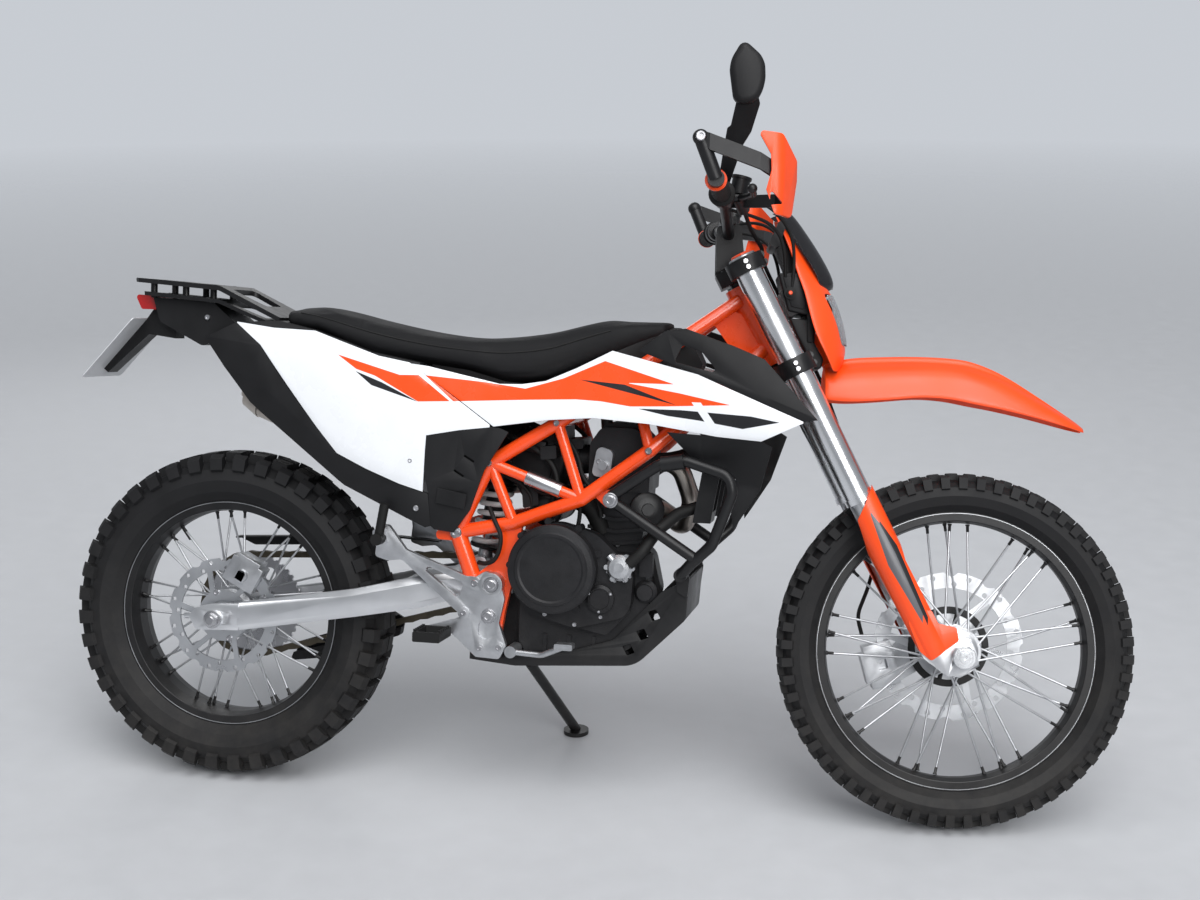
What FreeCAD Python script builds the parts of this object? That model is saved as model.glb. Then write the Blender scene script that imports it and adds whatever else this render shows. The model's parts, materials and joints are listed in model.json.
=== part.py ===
import FreeCAD, Part
import math
import os

from FreeCAD import Placement, Rotation, Vector

# A dual sport motorcycle, in millimetres. It is drawn upright and with its steering straight:
# X forward, Y to the rider's left, Z up from the ground. At the end its steering is turned to
# where it stands, and it is leaned over until both tyres and the side stand touch the ground.

# Swingarm and rear axle
PIVOT_X = 589.0
PIVOT_Z = 448.0
SWINGARM_LENGTH = 598.6
SWINGARM_FALL = 10.3
PIVOT_R = 20.0
BEAM_INNER = 98.0
BEAM_WALL = 22.0
BEAM_HALF = 29.0

# Steering head and fork
HEAD_X = 1140.0
HEAD_Z = 885.0
RAKE = 28.2
CLAMP_GAP = 218.0
CLAMP_OFFSET = 22.0
CLAMP_WALL = 11.0
LOWER_CLAMP = 34.0
UPPER_CLAMP = 30.0
AXLE_LEAD = 44.0
FORK_DROP = 641.3
FORK_HALF = 100.0
FORK_TUBE_R = 27.5
FORK_TUBE_DROP = 290.0
FORK_TUBE_RISE = 14.0
SLIDER_R = 24.0
STEM_R = 15.0
STEER_ANGLE = 9.1

# Wheels
FRONT_R = 351.0
FRONT_TYRE_HALF = 47.0
FRONT_RIM_R = 275.0
FRONT_RIM_BED = 252.0
FRONT_RIM_HALF = 27.0
FRONT_KNOB = 12.0
FRONT_ROWS = 60
REAR_R = 341.0
REAR_TYRE_HALF = 71.0
REAR_RIM_R = 238.0
REAR_RIM_BED = 214.6
REAR_RIM_HALF = 48.0
REAR_KNOB = 14.0
REAR_ROWS = 40
RIM_WALL = 3.5
SPOKES = 36
SPOKE_R = 2.2
FRONT_FLANGE_R = 50.0
REAR_FLANGE_R = 56.0
FLANGE_HALF = 32.0
FRONT_DISC_R = 150.0
FRONT_DISC_Y = 66.0
REAR_DISC_R = 120.0
REAR_DISC_Y = -76.0
DISC_WALL = 4.0
AXLE_R = 10.0

# Chain drive
CHAIN_Y = 84.0
CHAIN_HALF = 8.0
CHAIN_PLATE = 2.5
PLATE_HEIGHT = 8.0
LINKS = 53
SPROCKET_TEETH = 45
SPROCKET_R = 113.0
SPROCKET_WALL = 6.0
DRIVE_R = 36.0
DRIVE_X = 668.0
DRIVE_Z = 452.0

# Frame
TUBE_R = 14.0
BRACE_R = 11.0
TRUNK_R = 17.0
HEAD_TUBE_R = 30.0
PLATE_IN = 101.0
PLATE_OUT = 117.0

# Side stand
STAND_X = 600.0
STAND_Z = 262.0
STAND_Y = 116.0
STAND_TILT = 39.9
STAND_EYE_R = 16.0
STAND_EYE = 14.0
STAND_PIN_R = 6.0
FOOT_X = 684.0
FOOT_Y = 318.0
FOOT_R = 28.0
PARK_LEAN = 10.3

# Engine
CASE_HALF = 96.0
SKID_HALF = CASE_HALF + 8
SKID_WALL = 5.0
SKID_SIDE = 4.0
COVER_WALL = 34.0
CLUTCH_X = 717.0
CLUTCH_Z = 490.0
CLUTCH_R = 87.0
CYLINDER_HALF = 60.0

# Body, guards and controls
SKIN = 5.0
CRASH_R = 11.0
HEADER_R = 19.0
SILENCER_R = 44.0
BRACKET_Y = 117.0
BRACKET_WALL = 14.0
RACK_HOLES = 100.0
RACK_HOLE_R = 3.3
PLATE_WIDTH = 180.0
BAR_R = 11.0
BAR_END = 408.0
GRIP_R = 17.0
HOSE_R = 4.0

# Resting clearance between faces that don't touch, and the running clearance of a shaft
FIT = 0.3
RUNNING = 0.05

RAKE_SIN = math.sin(math.radians(RAKE))
RAKE_COS = math.cos(math.radians(RAKE))
REAR_X = PIVOT_X - SWINGARM_LENGTH * math.cos(math.radians(SWINGARM_FALL))
REAR_Z = PIVOT_Z - SWINGARM_LENGTH * math.sin(math.radians(SWINGARM_FALL))
ORIGIN = Vector(0, 0, 0)
Y_AXIS = Vector(0, 1, 0)
STEER_AXIS = Vector(-RAKE_SIN, 0, RAKE_COS)
STAND_AXIS = Vector(0, math.cos(math.radians(STAND_TILT)), math.sin(math.radians(STAND_TILT)))


# Shape helpers

def point(x, z, y=0.0):
    return Vector(x, y, z)


def near_head(x, z, y=0.0):
    """A place given from the steering head's foot."""
    return Vector(HEAD_X + x, y, HEAD_Z + z)


def along(rise, ahead, y=0.0):
    """A place given by its height up the steering axis and its distance ahead of it."""
    x = HEAD_X - rise * RAKE_SIN + ahead * RAKE_COS
    z = HEAD_Z + rise * RAKE_COS + ahead * RAKE_SIN
    return Vector(x, y, z)


def rounded(corners):
    """A closed wire through corners, each a place and the radius that rounds it."""
    edges = []
    turns = []
    count = len(corners)
    for i in range(count):
        here, radius = corners[i]
        back = (corners[i - 1][0] - here).normalize()
        ahead = (corners[(i + 1) % count][0] - here).normalize()
        if radius <= 0:
            turns.append((here, None, here))
            continue
        half = back.getAngle(ahead) / 2
        reach = radius / math.tan(half)
        middle = (back + ahead).normalize()
        nearest = here + middle * (radius / math.sin(half) - radius)
        turns.append((here + back * reach, nearest, here + ahead * reach))
    for i in range(count):
        leave = turns[i - 1][2]
        arrive, nearest, depart = turns[i]
        if leave.distanceToPoint(arrive) > 0.001:
            edges.append(Part.LineSegment(leave, arrive).toShape())
        if nearest is not None:
            edges.append(Part.Arc(arrive, nearest, depart).toShape())
    return Part.Wire(edges)


def slab(outline, y0, y1):
    """A side-view outline, (x, z) or (x, z, radius), as thick as from y0 to y1."""
    corners = [(Vector(p[0], y0, p[1]), p[2] if len(p) > 2 else 0) for p in outline]
    return Part.Face(rounded(corners)).extrude(Vector(0, y1 - y0, 0))


def head_slab(outline, y0, y1):
    """A slab whose outline is given from the steering head's foot."""
    return slab([(HEAD_X + p[0], HEAD_Z + p[1]) + tuple(p[2:]) for p in outline], y0, y1)


def plan(outline, z0, z1):
    """A plan-view outline, (x, y) or (x, y, radius), as thick as from z0 to z1."""
    corners = [(Vector(p[0], p[1], z0), p[2] if len(p) > 2 else 0) for p in outline]
    return Part.Face(rounded(corners)).extrude(Vector(0, 0, z1 - z0))


def section(outline):
    """A flat face from (radius, y) or (radius, y, corner), to be turned about the Y axis."""
    corners = [(Vector(p[0], p[1], 0), p[2] if len(p) > 2 else 0) for p in outline]
    return Part.Face(rounded(corners))


def lathe(outline):
    return section(outline).revolve(ORIGIN, Y_AXIS, 360)


def turned_at(outline, x, z):
    """A lathed form whose axis stands at x and z."""
    return about_axle(lathe(outline), x, z)


def rod(start, end, radius):
    run = end - start
    return Part.makeCylinder(radius, run.Length, start, run)


def cross_rod(x, z, y0, y1, radius):
    """A round boss or pin that runs across the machine."""
    return rod(point(x, z, y0), point(x, z, y1), radius)


def pipe(stops, radius, bend):
    """A round bar through its stops, with every bend of one radius."""
    edges = []
    leave = stops[0]
    for i in range(1, len(stops) - 1):
        here = stops[i]
        back = (stops[i - 1] - here).normalize()
        ahead = (stops[i + 1] - here).normalize()
        half = back.getAngle(ahead) / 2
        if half > math.radians(89.5):
            continue
        room = 0.49 * min((stops[i - 1] - here).Length, (stops[i + 1] - here).Length)
        turn = min(bend, room * math.tan(half))
        reach = turn / math.tan(half)
        middle = (back + ahead).normalize()
        nearest = here + middle * (turn / math.sin(half) - turn)
        arrive = here + back * reach
        depart = here + ahead * reach
        edges.append(Part.LineSegment(leave, arrive).toShape())
        edges.append(Part.Arc(arrive, nearest, depart).toShape())
        leave = depart
    edges.append(Part.LineSegment(leave, stops[-1]).toShape())
    ring = Part.Wire(Part.makeCircle(radius, stops[0], stops[1] - stops[0]))
    return Part.Wire(edges).makePipeShell([ring], True, False)


def loft(sections, ruled=True):
    """A solid through closed sections, each a list of places."""
    wires = [Part.makePolygon(places + [places[0]]) for places in sections]
    return Part.makeLoft(wires, True, ruled)


def strap(stops, thickness):
    """A flat bar that stands on edge along its stops, each a place and the bar's height there."""
    sections = []
    for i, (place, height) in enumerate(stops):
        before = stops[max(i - 1, 0)][0]
        after = stops[min(i + 1, len(stops) - 1)][0]
        run = after - before
        side = Vector(run.y, -run.x, 0).normalize() * (thickness / 2)
        up = Vector(0, 0, height / 2)
        sections.append([place - side - up, place + side - up, place + side + up, place - side + up])
    return loft(sections)


def join(shapes):
    fused = shapes[0].multiFuse(shapes[1:]).removeSplitter()
    return fused.Solids[0] if len(fused.Solids) == 1 else fused


def without_crumbs(shape):
    """The shape without the slivers under a cubic centimetre that a cut can leave."""
    kept = [solid for solid in shape.Solids if solid.Volume > 1000]
    return kept[0] if len(kept) == 1 else Part.makeCompound(kept)


def mirrored(shape):
    return shape.mirror(ORIGIN, Y_AXIS)


def pair(shape):
    return Part.makeCompound([shape, mirrored(shape)])


def about_axle(shape, x, z):
    moved = shape.copy()
    moved.translate(Vector(x, 0, z))
    return moved


def spun(shape, count, start=0.0):
    """Copies of a shape turned evenly about the Y axis."""
    copies = []
    for i in range(count):
        turned = shape.copy()
        turned.rotate(ORIGIN, Y_AXIS, start + 360.0 * i / count)
        copies.append(turned)
    return copies


# Wheels

def rim(rim_r, bed_r, half):
    seat_r = rim_r - 12.0
    return lathe([
        (bed_r, -half * 0.35, 3), (seat_r - 6, -half, 2), (rim_r, -half), (rim_r, RIM_WALL - half),
        (seat_r, RIM_WALL - half), (seat_r, half - RIM_WALL), (rim_r, half - RIM_WALL), (rim_r, half),
        (seat_r - 6, half, 2), (bed_r, half * 0.35, 3),
    ])


def carcass(base_r, half, rim_r, rim_half):
    """The smooth tyre under its knobs, from one bead to the other."""
    seat_r = rim_r - 12.0
    bead = rim_half - RIM_WALL
    height = base_r - rim_r
    side = [
        (seat_r, bead), (rim_r + 1, bead), (rim_r + 1, rim_half), (rim_r + height * 0.22, half * 0.86),
        (rim_r + height * 0.5, half * 0.97), (rim_r + height * 0.76, half * 0.88),
        (base_r - height * 0.1, half * 0.66),
        (base_r, half * 0.34),
    ]
    return lathe([(r, -y) for r, y in side] + [(r, y) for r, y in reversed(side)])


def knob(outline, width, at):
    """One tread block: its section over the tyre, as wide as a few degrees of the wheel."""
    block = section(outline).revolve(ORIGIN, Y_AXIS, width)
    block.rotate(ORIGIN, Y_AXIS, at - width / 2)
    return block


def flipped(outline):
    return [(r, -y) for r, y in outline]


def front_tyre():
    """A knobbed tyre: 60 rows of side knobs, with a crown block between each two rows."""
    pitch = 360.0 / FRONT_ROWS
    half = FRONT_TYRE_HALF
    base_r = FRONT_R - FRONT_KNOB
    side = [(base_r - 21, half - 6), (base_r - 17, half), (base_r + 4, half - 3), (base_r + 9, half - 17),
            (base_r - 9, half - 22)]
    crown = [(base_r - 5, 3), (FRONT_R, 3), (FRONT_R - 2, 17), (base_r - 5, 18)]
    rows = [
        knob(side, 2.9, 90), knob(flipped(side), 2.9, 90),
        knob(crown, 3.4, 90 + pitch / 2), knob(flipped(crown), 3.4, 90 + pitch / 2),
    ]
    blocks = []
    for block in rows:
        blocks += spun(block, FRONT_ROWS)
    return carcass(base_r, half, FRONT_RIM_R, FRONT_RIM_HALF).multiFuse(blocks)


def rear_tyre():
    """A wider knobbed tyre: in each of 40 rows two crown blocks, then a knob on each shoulder."""
    pitch = 360.0 / REAR_ROWS
    half = REAR_TYRE_HALF
    base_r = REAR_R - REAR_KNOB
    side = [(base_r - 27, half - 7), (base_r - 22, half), (base_r + 1, half - 2), (base_r + 10, half - 16),
            (base_r - 8, half - 24)]
    crown = [(base_r - 6, 4), (REAR_R, 4), (REAR_R - 1.5, 37), (base_r - 8, 39)]
    rows = [
        knob(side, 4.8, 90 + pitch / 2), knob(flipped(side), 4.8, 90 + pitch / 2),
        knob(crown, 5.6, 90), knob(flipped(crown), 5.6, 90),
    ]
    blocks = []
    for block in rows:
        blocks += spun(block, REAR_ROWS)
    return carcass(base_r, half, REAR_RIM_R, REAR_RIM_HALF).multiFuse(blocks)


def hub(bed_r, left_y, right_y, flange_r, core_r):
    """The hub between its disc seats, and the spokes laced from its two flanges."""
    wall = 5.0
    half = FLANGE_HALF
    barrel = lathe([
        (AXLE_R, right_y), (core_r + 6, right_y), (core_r + 6, right_y + 6), (core_r, right_y + 10),
        (core_r, -half - 6), (flange_r - 6, -half, 1), (flange_r, -half, 1), (flange_r, wall - half, 1),
        (core_r - 4, -18, 4),
        (core_r - 4, 18, 4), (flange_r, half - wall, 1), (flange_r, half, 1), (flange_r - 6, half, 1),
        (core_r, half + 6),
        (core_r, left_y - 10), (core_r + 6, left_y - 6), (core_r + 6, left_y), (AXLE_R, left_y),
    ])
    end_r = bed_r - FIT - 0.9
    lead = 360.0 / SPOKES
    spokes = []
    for side in (-1, 1):
        for i in range(SPOKES // 2):
            root = math.radians(2 * lead * i + (0 if side < 0 else lead))
            tip = root + math.radians(26 if i % 2 else -26)
            foot_r = flange_r - 4
            start = Vector(foot_r * math.cos(root), side * (half - (1 if i % 2 else 4)),
                           foot_r * math.sin(root))
            end = Vector(end_r * math.cos(tip), side * 5, end_r * math.sin(tip))
            spokes.append(rod(start, end, SPOKE_R))
    return barrel.multiFuse(spokes)


def disc(outer_r, y, seat_r):
    """A brake disc: its scalloped and drilled band, six raked arms and its seat on the hub."""
    half = DISC_WALL / 2
    band = outer_r * 0.21
    mid_r = outer_r - band / 2
    ring = lathe([(outer_r - band, y - half), (outer_r, y - half), (outer_r, y + half),
                  (outer_r - band, y + half)])

    def bore(radius, r):
        return Part.makeCylinder(radius, 3 * DISC_WALL, Vector(r, y - 1.5 * DISC_WALL, 0), Y_AXIS)
    bites = spun(bore(outer_r * 0.11, outer_r * 1.06), 12)
    drilled = spun(bore(outer_r * 0.036, mid_r + band * 0.2), 12, 15)
    drilled += spun(bore(outer_r * 0.036, mid_r - band * 0.25), 12, 3)
    ring = ring.cut(Part.makeCompound(bites + drilled))
    seat = lathe([(seat_r - 14, y - half), (seat_r + 8, y - half), (seat_r + 8, y + half),
                  (seat_r - 14, y + half)])
    arm = Part.makeBox(outer_r - band - seat_r + 10, DISC_WALL, outer_r * 0.09,
                       Vector(seat_r - 2, y - half, -outer_r * 0.045))
    arm.rotate(Vector(seat_r, 0, 0), Y_AXIS, 20)
    arms = Part.makeCompound(spun(arm, 6))
    inside = lathe([(seat_r - 10, y - half), (outer_r - band + 3, y - half), (outer_r - band + 3, y + half),
                    (seat_r - 10, y + half)])
    return join([ring, seat, arms.common(inside)])


def sprocket(teeth, tip_r, y):
    half = SPROCKET_WALL / 2
    body = lathe([(26, y - half), (tip_r, y - half), (tip_r, y + half), (26, y + half)])

    def bore(radius, r):
        return Part.makeCylinder(radius, 4 * half, Vector(r, y - 2 * half, 0), Y_AXIS)
    gullets = spun(bore(4.4, tip_r), teeth)
    windows = spun(bore(14, tip_r * 0.7), 6)
    bolt_holes = spun(bore(4, tip_r * 0.48), 6, 30)
    return body.cut(Part.makeCompound(gullets + windows + bolt_holes))


def chain():
    """The drive chain as one closed loop: two rows of plates and the rollers' band between them."""
    tooth = 4.0
    big = SPROCKET_R - tooth
    small = DRIVE_R - tooth
    run_x = DRIVE_X - REAR_X
    run_z = DRIVE_Z - REAR_Z
    length = math.hypot(run_x, run_z)
    tilt = math.atan2(run_z, run_x)
    wrap = math.acos((big - small) / length)
    straight = length * math.sin(wrap)
    big_arc = big * (2 * math.pi - 2 * wrap)
    small_arc = small * 2 * wrap
    total = 2 * straight + big_arc + small_arc

    def place(s, offset):
        """A place on the loop at a distance round it, standing out by an offset."""
        s = s % total
        if s < big_arc:
            angle = tilt + wrap + s / big
            return Vector(REAR_X + (big + offset) * math.cos(angle), 0,
                          REAR_Z + (big + offset) * math.sin(angle))
        s -= big_arc
        low = tilt - wrap
        if s < straight:
            out = Vector(math.cos(low), 0, math.sin(low))
            start = Vector(REAR_X, 0, REAR_Z) + out * (big + offset)
            return start + Vector(-out.z, 0, out.x) * s
        s -= straight
        if s < small_arc:
            angle = low + s / small
            return Vector(DRIVE_X + (small + offset) * math.cos(angle), 0,
                          DRIVE_Z + (small + offset) * math.sin(angle))
        s -= small_arc
        high = tilt + wrap
        out = Vector(math.cos(high), 0, math.sin(high))
        start = Vector(DRIVE_X, 0, DRIVE_Z) + out * (small + offset)
        return start + Vector(-out.z, 0, out.x) * s

    def belt(offsets, y0, y1):
        steps = LINKS * len(offsets)
        places = [place(total * i / steps, offsets[i % len(offsets)]) for i in range(steps)]
        shifted = [p + Vector(0, y0, 0) for p in places]
        return Part.Face(Part.makePolygon(shifted + [shifted[0]])).extrude(Vector(0, y1 - y0, 0))

    inner_y = CHAIN_Y - CHAIN_HALF
    outer_y = CHAIN_Y + CHAIN_HALF
    parts = []
    for y0, y1 in ((inner_y, inner_y + CHAIN_PLATE), (outer_y - CHAIN_PLATE, outer_y)):
        plates = belt([PLATE_HEIGHT, PLATE_HEIGHT - 2.5], y0, y1)
        parts.append(plates.cut(belt([-PLATE_HEIGHT + 2.0], y0 - 1, y1 + 1)))
    clear_of_teeth = tooth + 1.5
    rollers = belt([PLATE_HEIGHT - 0.5, PLATE_HEIGHT - 3.0], inner_y + 1, outer_y - 1)
    parts.append(rollers.cut(belt([clear_of_teeth - 1.5], inner_y, outer_y)))
    teeth = lathe([(0, CHAIN_Y - 4.5), (SPROCKET_R + 1.5, CHAIN_Y - 4.5), (SPROCKET_R + 1.5, CHAIN_Y + 4.5),
                   (0, CHAIN_Y + 4.5)])
    return join(parts).cut(about_axle(teeth, REAR_X, REAR_Z))


def front_sprocket():
    return cross_rod(DRIVE_X, DRIVE_Z, CHAIN_Y - SPROCKET_WALL / 2, CHAIN_Y + SPROCKET_WALL / 2, DRIVE_R)


def chain_guard():
    """The black strip over the top run and the guide block round the lower run."""
    strip = slab([(-36, 489), (147, 499), (330, 508, 6), (420, 503), (420, 500), (330, 504.5, 6),
                  (147, 495.5), (-36, 485.5)], 72, 98)
    skirt = slab([(-36, 485.5), (147, 495.5), (330, 504.5), (330, 484, 6), (147, 478), (0, 470, 8)], 94.5, 98)
    post = slab([(236, 500), (300, 503), (286, 414), (250, 408)], 94.5, 98)
    foot = slab([(246, 424), (290, 430), (290, 400), (246, 396)], 98, 103)
    top = join([strip, skirt, post, foot])
    block = slab([
        (92, 224, 6), (150, 232, 10), (338, 294, 8), (344, 328, 6), (300, 352, 4), (256, 348, 4),
        (214, 300, 12),
        (108, 264, 8),
    ], CHAIN_Y - CHAIN_HALF + 1, CHAIN_Y + CHAIN_HALF + 10)
    run = slab([(60, 231), (360, 317), (360, 345), (60, 259)], CHAIN_Y - CHAIN_HALF - 2,
               CHAIN_Y + CHAIN_HALF + 2)
    return Part.makeCompound([top, block.cut(run)])


def wheels():
    front = along(-FORK_DROP, CLAMP_OFFSET + AXLE_LEAD)
    made = {
        "front_tyre": front_tyre(),
        "front_rim": rim(FRONT_RIM_R, FRONT_RIM_BED, FRONT_RIM_HALF),
        "front_hub": hub(FRONT_RIM_BED, FRONT_DISC_Y - DISC_WALL / 2, -62.0, FRONT_FLANGE_R, 28.0),
        "front_disc": disc(FRONT_DISC_R, FRONT_DISC_Y, 72.0),
    }
    made["front_disc"] = join([made["front_disc"], lathe([
        (22, FRONT_DISC_Y - 2), (62, FRONT_DISC_Y - 2), (62, FRONT_DISC_Y + 2), (22, FRONT_DISC_Y + 2),
    ])])
    placed = {name: about_axle(shape, front.x, front.z) for name, shape in made.items()}
    rear = {
        "rear_tyre": rear_tyre(),
        "rear_rim": rim(REAR_RIM_R, REAR_RIM_BED, REAR_RIM_HALF),
        "rear_hub": hub(REAR_RIM_BED, CHAIN_Y - SPROCKET_WALL / 2, REAR_DISC_Y + DISC_WALL / 2,
                        REAR_FLANGE_R, 34.0),
        "rear_disc": disc(REAR_DISC_R, REAR_DISC_Y, 46.0),
        "rear_sprocket": sprocket(SPROCKET_TEETH, SPROCKET_R, CHAIN_Y),
    }
    for name, shape in rear.items():
        placed[name] = about_axle(shape, REAR_X, REAR_Z)
    return placed


# Frame

REAR_NODE = point(512, 548, 115)
SEAT_NODE = point(577, 691, 120)
TOP_NODE = point(712, 776, 118)
LOWER_NODE = point(627, 572, 115)
MIDDLE_NODE = point(765, 627, 125)
FRONT_NODE = point(897, 729, 115)
RAIL_MIDDLE = point(850, 882, 85)
CRASH_BOLT = point(831, 634, 112)


def trellis_side():
    """One side's triangles of tube behind the engine's front, its pivot plate and gussets."""
    tubes = [(REAR_NODE, SEAT_NODE), (SEAT_NODE, TOP_NODE), (LOWER_NODE, MIDDLE_NODE),
             (MIDDLE_NODE, FRONT_NODE),
             (REAR_NODE, LOWER_NODE)]
    braces = [(SEAT_NODE, LOWER_NODE), (SEAT_NODE, MIDDLE_NODE), (MIDDLE_NODE, TOP_NODE)]
    side = [rod(a, b, TUBE_R) for a, b in tubes]
    side += [rod(a, b, BRACE_R) for a, b in braces]
    side += [Part.makeSphere(TUBE_R, p) for p in (REAR_NODE, SEAT_NODE, TOP_NODE, LOWER_NODE, MIDDLE_NODE,
                                                  FRONT_NODE)]
    side.append(rod(REAR_NODE, point(553, 436, 109), TRUNK_R))
    plate = slab([
        (560, 470, 10), (598, 500, 16), (606, 575, 4), (646, 578, 8), (634, 480, 30), (615, 395, 20),
        (600, 300, 12),
        (545, 300, 12), (548, 400, 30), (546, 440, 10),
    ], PLATE_IN, PLATE_OUT)
    tab = slab([(500, 560, 6), (520, 530, 6), (470, 532, 8), (468, 548, 8)], 110, 120)
    crash_tab = slab([(784, 640, 3), (800, 648), (836, 648, 12), (842, 628, 8), (816, 612, 6)], 112, 122)
    return join(side + [plate, tab, crash_tab])


def head_frame(side):
    """The head tube with its gussets, the long rails that run back from it and the cross tubes."""
    head_top = along(CLAMP_GAP - 50, -8, 24)
    head_low = along(60, -8, 24)
    rails = [rod(TOP_NODE, head_top, TUBE_R), rod(FRONT_NODE, head_low, TUBE_R),
             rod(FRONT_NODE, RAIL_MIDDLE, BRACE_R)]
    gusset = slab([(1030, 1012, 6), (1058, 1002), (1112, 912), (1092, 892), (1056, 912, 20),
                   (1000, 985, 10)], 20, 28)
    half = rails + [gusset]
    tube = rod(along(24, 0), along(CLAMP_GAP - 24, 0), HEAD_TUBE_R)
    crosses = [
        rod(mirrored_point(LOWER_NODE), LOWER_NODE, BRACE_R),
        rod(mirrored_point(TOP_NODE), TOP_NODE, BRACE_R),
        rod(mirrored_point(SEAT_NODE), SEAT_NODE, BRACE_R),
        cross_rod(572, 312, -110, 110, BRACE_R),
    ]
    whole = join(half + [mirrored(part) for part in half] + [tube])
    whole = whole.cut(rod(along(-20, 0), along(CLAMP_GAP + 20, 0), STEM_R + RUNNING))
    frame = Part.makeCompound([whole.cut(side).cut(mirrored(side))])
    bars = [bar.cut(side).cut(mirrored(side)) for bar in crosses]
    return frame, bars


def mirrored_point(place):
    return Vector(place.x, -place.y, place.z)


def largest(shape):
    """The biggest solid of what a cut leaves, without the crumbs inside other tubes."""
    return max(shape.Solids, key=lambda solid: solid.Volume)


# Side stand

def stand_lug():
    """The ear and pin that carry the side stand, on the left foot of the frame."""
    top = point(STAND_X, STAND_Z, STAND_Y)
    eye = rod(top - STAND_AXIS * (STAND_EYE + FIT), top - STAND_AXIS * FIT, STAND_EYE_R)
    web = slab([(580, 312), (622, 312), (616, 262, 8), (584, 262, 8)], 98, 110)
    sweep = rod(top - STAND_AXIS * FIT, top + STAND_AXIS * 40, 40)
    pin = rod(top - STAND_AXIS * STAND_EYE, top + STAND_AXIS * (STAND_EYE + 4), STAND_PIN_R)
    return join([join([eye, web]).cut(sweep), pin])


def side_stand():
    top = point(STAND_X, STAND_Z, STAND_Y)
    lean = math.radians(PARK_LEAN)
    upwards = Vector(0, -math.sin(lean), math.cos(lean))
    sole = point(FOOT_X, FOOT_Y * math.tan(lean) - 4.0, FOOT_Y)
    middle = top + STAND_AXIS * (STAND_EYE / 2)
    leg = rod(middle, sole + upwards * 8, 7)
    tube = rod(middle + (sole - middle) * 0.12, sole + upwards * 8, 11)
    knuckle = rod(top, top + STAND_AXIS * STAND_EYE, STAND_EYE_R)
    bore = rod(top - STAND_AXIS, top + STAND_AXIS * (STAND_EYE + 1), STAND_PIN_R + RUNNING)
    pad = rod(sole, sole + upwards * 9, FOOT_R)
    return join([leg, tube, knuckle, pad]).cut(bore)


# Engine

def engine_block():
    """The crankcase with its joint flange, ribs and keel, and the pocket that the drive sprocket turns in."""
    half = CASE_HALF
    main = slab([
        (640, 540, 20), (885, 515, 30), (905, 430, 40), (872, 325, 40), (660, 303, 20), (640, 330, 10),
    ], -half, half)
    gearbox = slab([(600, 540, 20), (660, 540), (660, 304), (568, 325, 25), (574, 420, 20)], -60, 60)
    flange = slab([(648, 548, 20), (892, 523, 34), (914, 430, 44), (879, 316, 44), (650, 294, 20)], -4, 4)
    keel = slab([(664, 309, 4), (866, 324, 4), (860, 310, 4), (668, 297, 4)], -84, 84)
    ribs = []
    for x in (690, 740, 790):
        foot = 311 + (x - 690) * 0.1
        ribs.append(slab([(x, foot), (x + 8, foot), (x + 8, 350), (x, 350)], -half - 3, half + 3))
    room = DRIVE_R + 24
    pocket = join([
        cross_rod(DRIVE_X, DRIVE_Z, 66, half + 1, room),
        slab([(500, DRIVE_Z - room), (DRIVE_X, DRIVE_Z - room), (DRIVE_X, DRIVE_Z + room),
              (500, DRIVE_Z + room)], 66, half + 1),
    ])
    shaft = cross_rod(DRIVE_X, DRIVE_Z, 60, CHAIN_Y - SPROCKET_WALL / 2, 14)
    return join([join([main, gearbox, flange, keel] + ribs).cut(pocket), shaft])


def domed(x, z, base_y, radius, height, side):
    """A round cover with a raised middle and a turned-down edge; side is -1 on the right."""
    step = height * 0.35
    outline = [
        (0, 0), (radius, 0), (radius, height * 0.6), (radius - step, height * 0.88),
        (radius * 0.72, height * 0.88),
        (radius * 0.68, height), (0, height),
    ]
    return turned_at([(r, base_y + side * y) for r, y in outline], x, z)


def engine_covers():
    face = CASE_HALF + COVER_WALL
    right = [
        slab([(640, 520, 40), (700, 585, 60), (800, 560, 60), (875, 490, 40), (870, 400, 40),
              (760, 370, 60), (650, 400, 40)], -face, -CASE_HALF),
        domed(CLUTCH_X, CLUTCH_Z, -face, CLUTCH_R, 38, -1),
        domed(811, 433, -face, 28, 16, -1),
        domed(896, 447, -CASE_HALF + 20, 23, 40, -1),
        slab([(884, 478, 3), (910, 478, 3), (910, 524, 3), (884, 524, 3)], -CASE_HALF - 18, -CASE_HALF + 30),
        slab([(735, 398, 10), (800, 384, 8), (858, 424, 8), (870, 410, 6), (822, 358, 10), (735, 376, 10)],
             -CASE_HALF - 22, -CASE_HALF),
    ]
    bosses = []
    for angle in range(20, 380, 40):
        x = CLUTCH_X + (CLUTCH_R + 5) * math.cos(math.radians(angle))
        z = CLUTCH_Z + (CLUTCH_R + 5) * math.sin(math.radians(angle))
        bosses.append(cross_rod(x, z, -face - 4, -CASE_HALF - 4, 7))
    left = [
        slab([(690, 500, 40), (790, 530, 50), (875, 470, 40), (860, 390, 40), (760, 350, 50),
              (700, 380, 30)], CASE_HALF, CASE_HALF + 26),
        domed(785, 440, CASE_HALF + 26, 66, 24, 1),
    ]
    cases = slab([(560, 300), (560, 620), (940, 620), (940, 300)], -CASE_HALF, CASE_HALF)
    return Part.makeCompound([join(right + bosses).cut(cases), join(left)])


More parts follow.
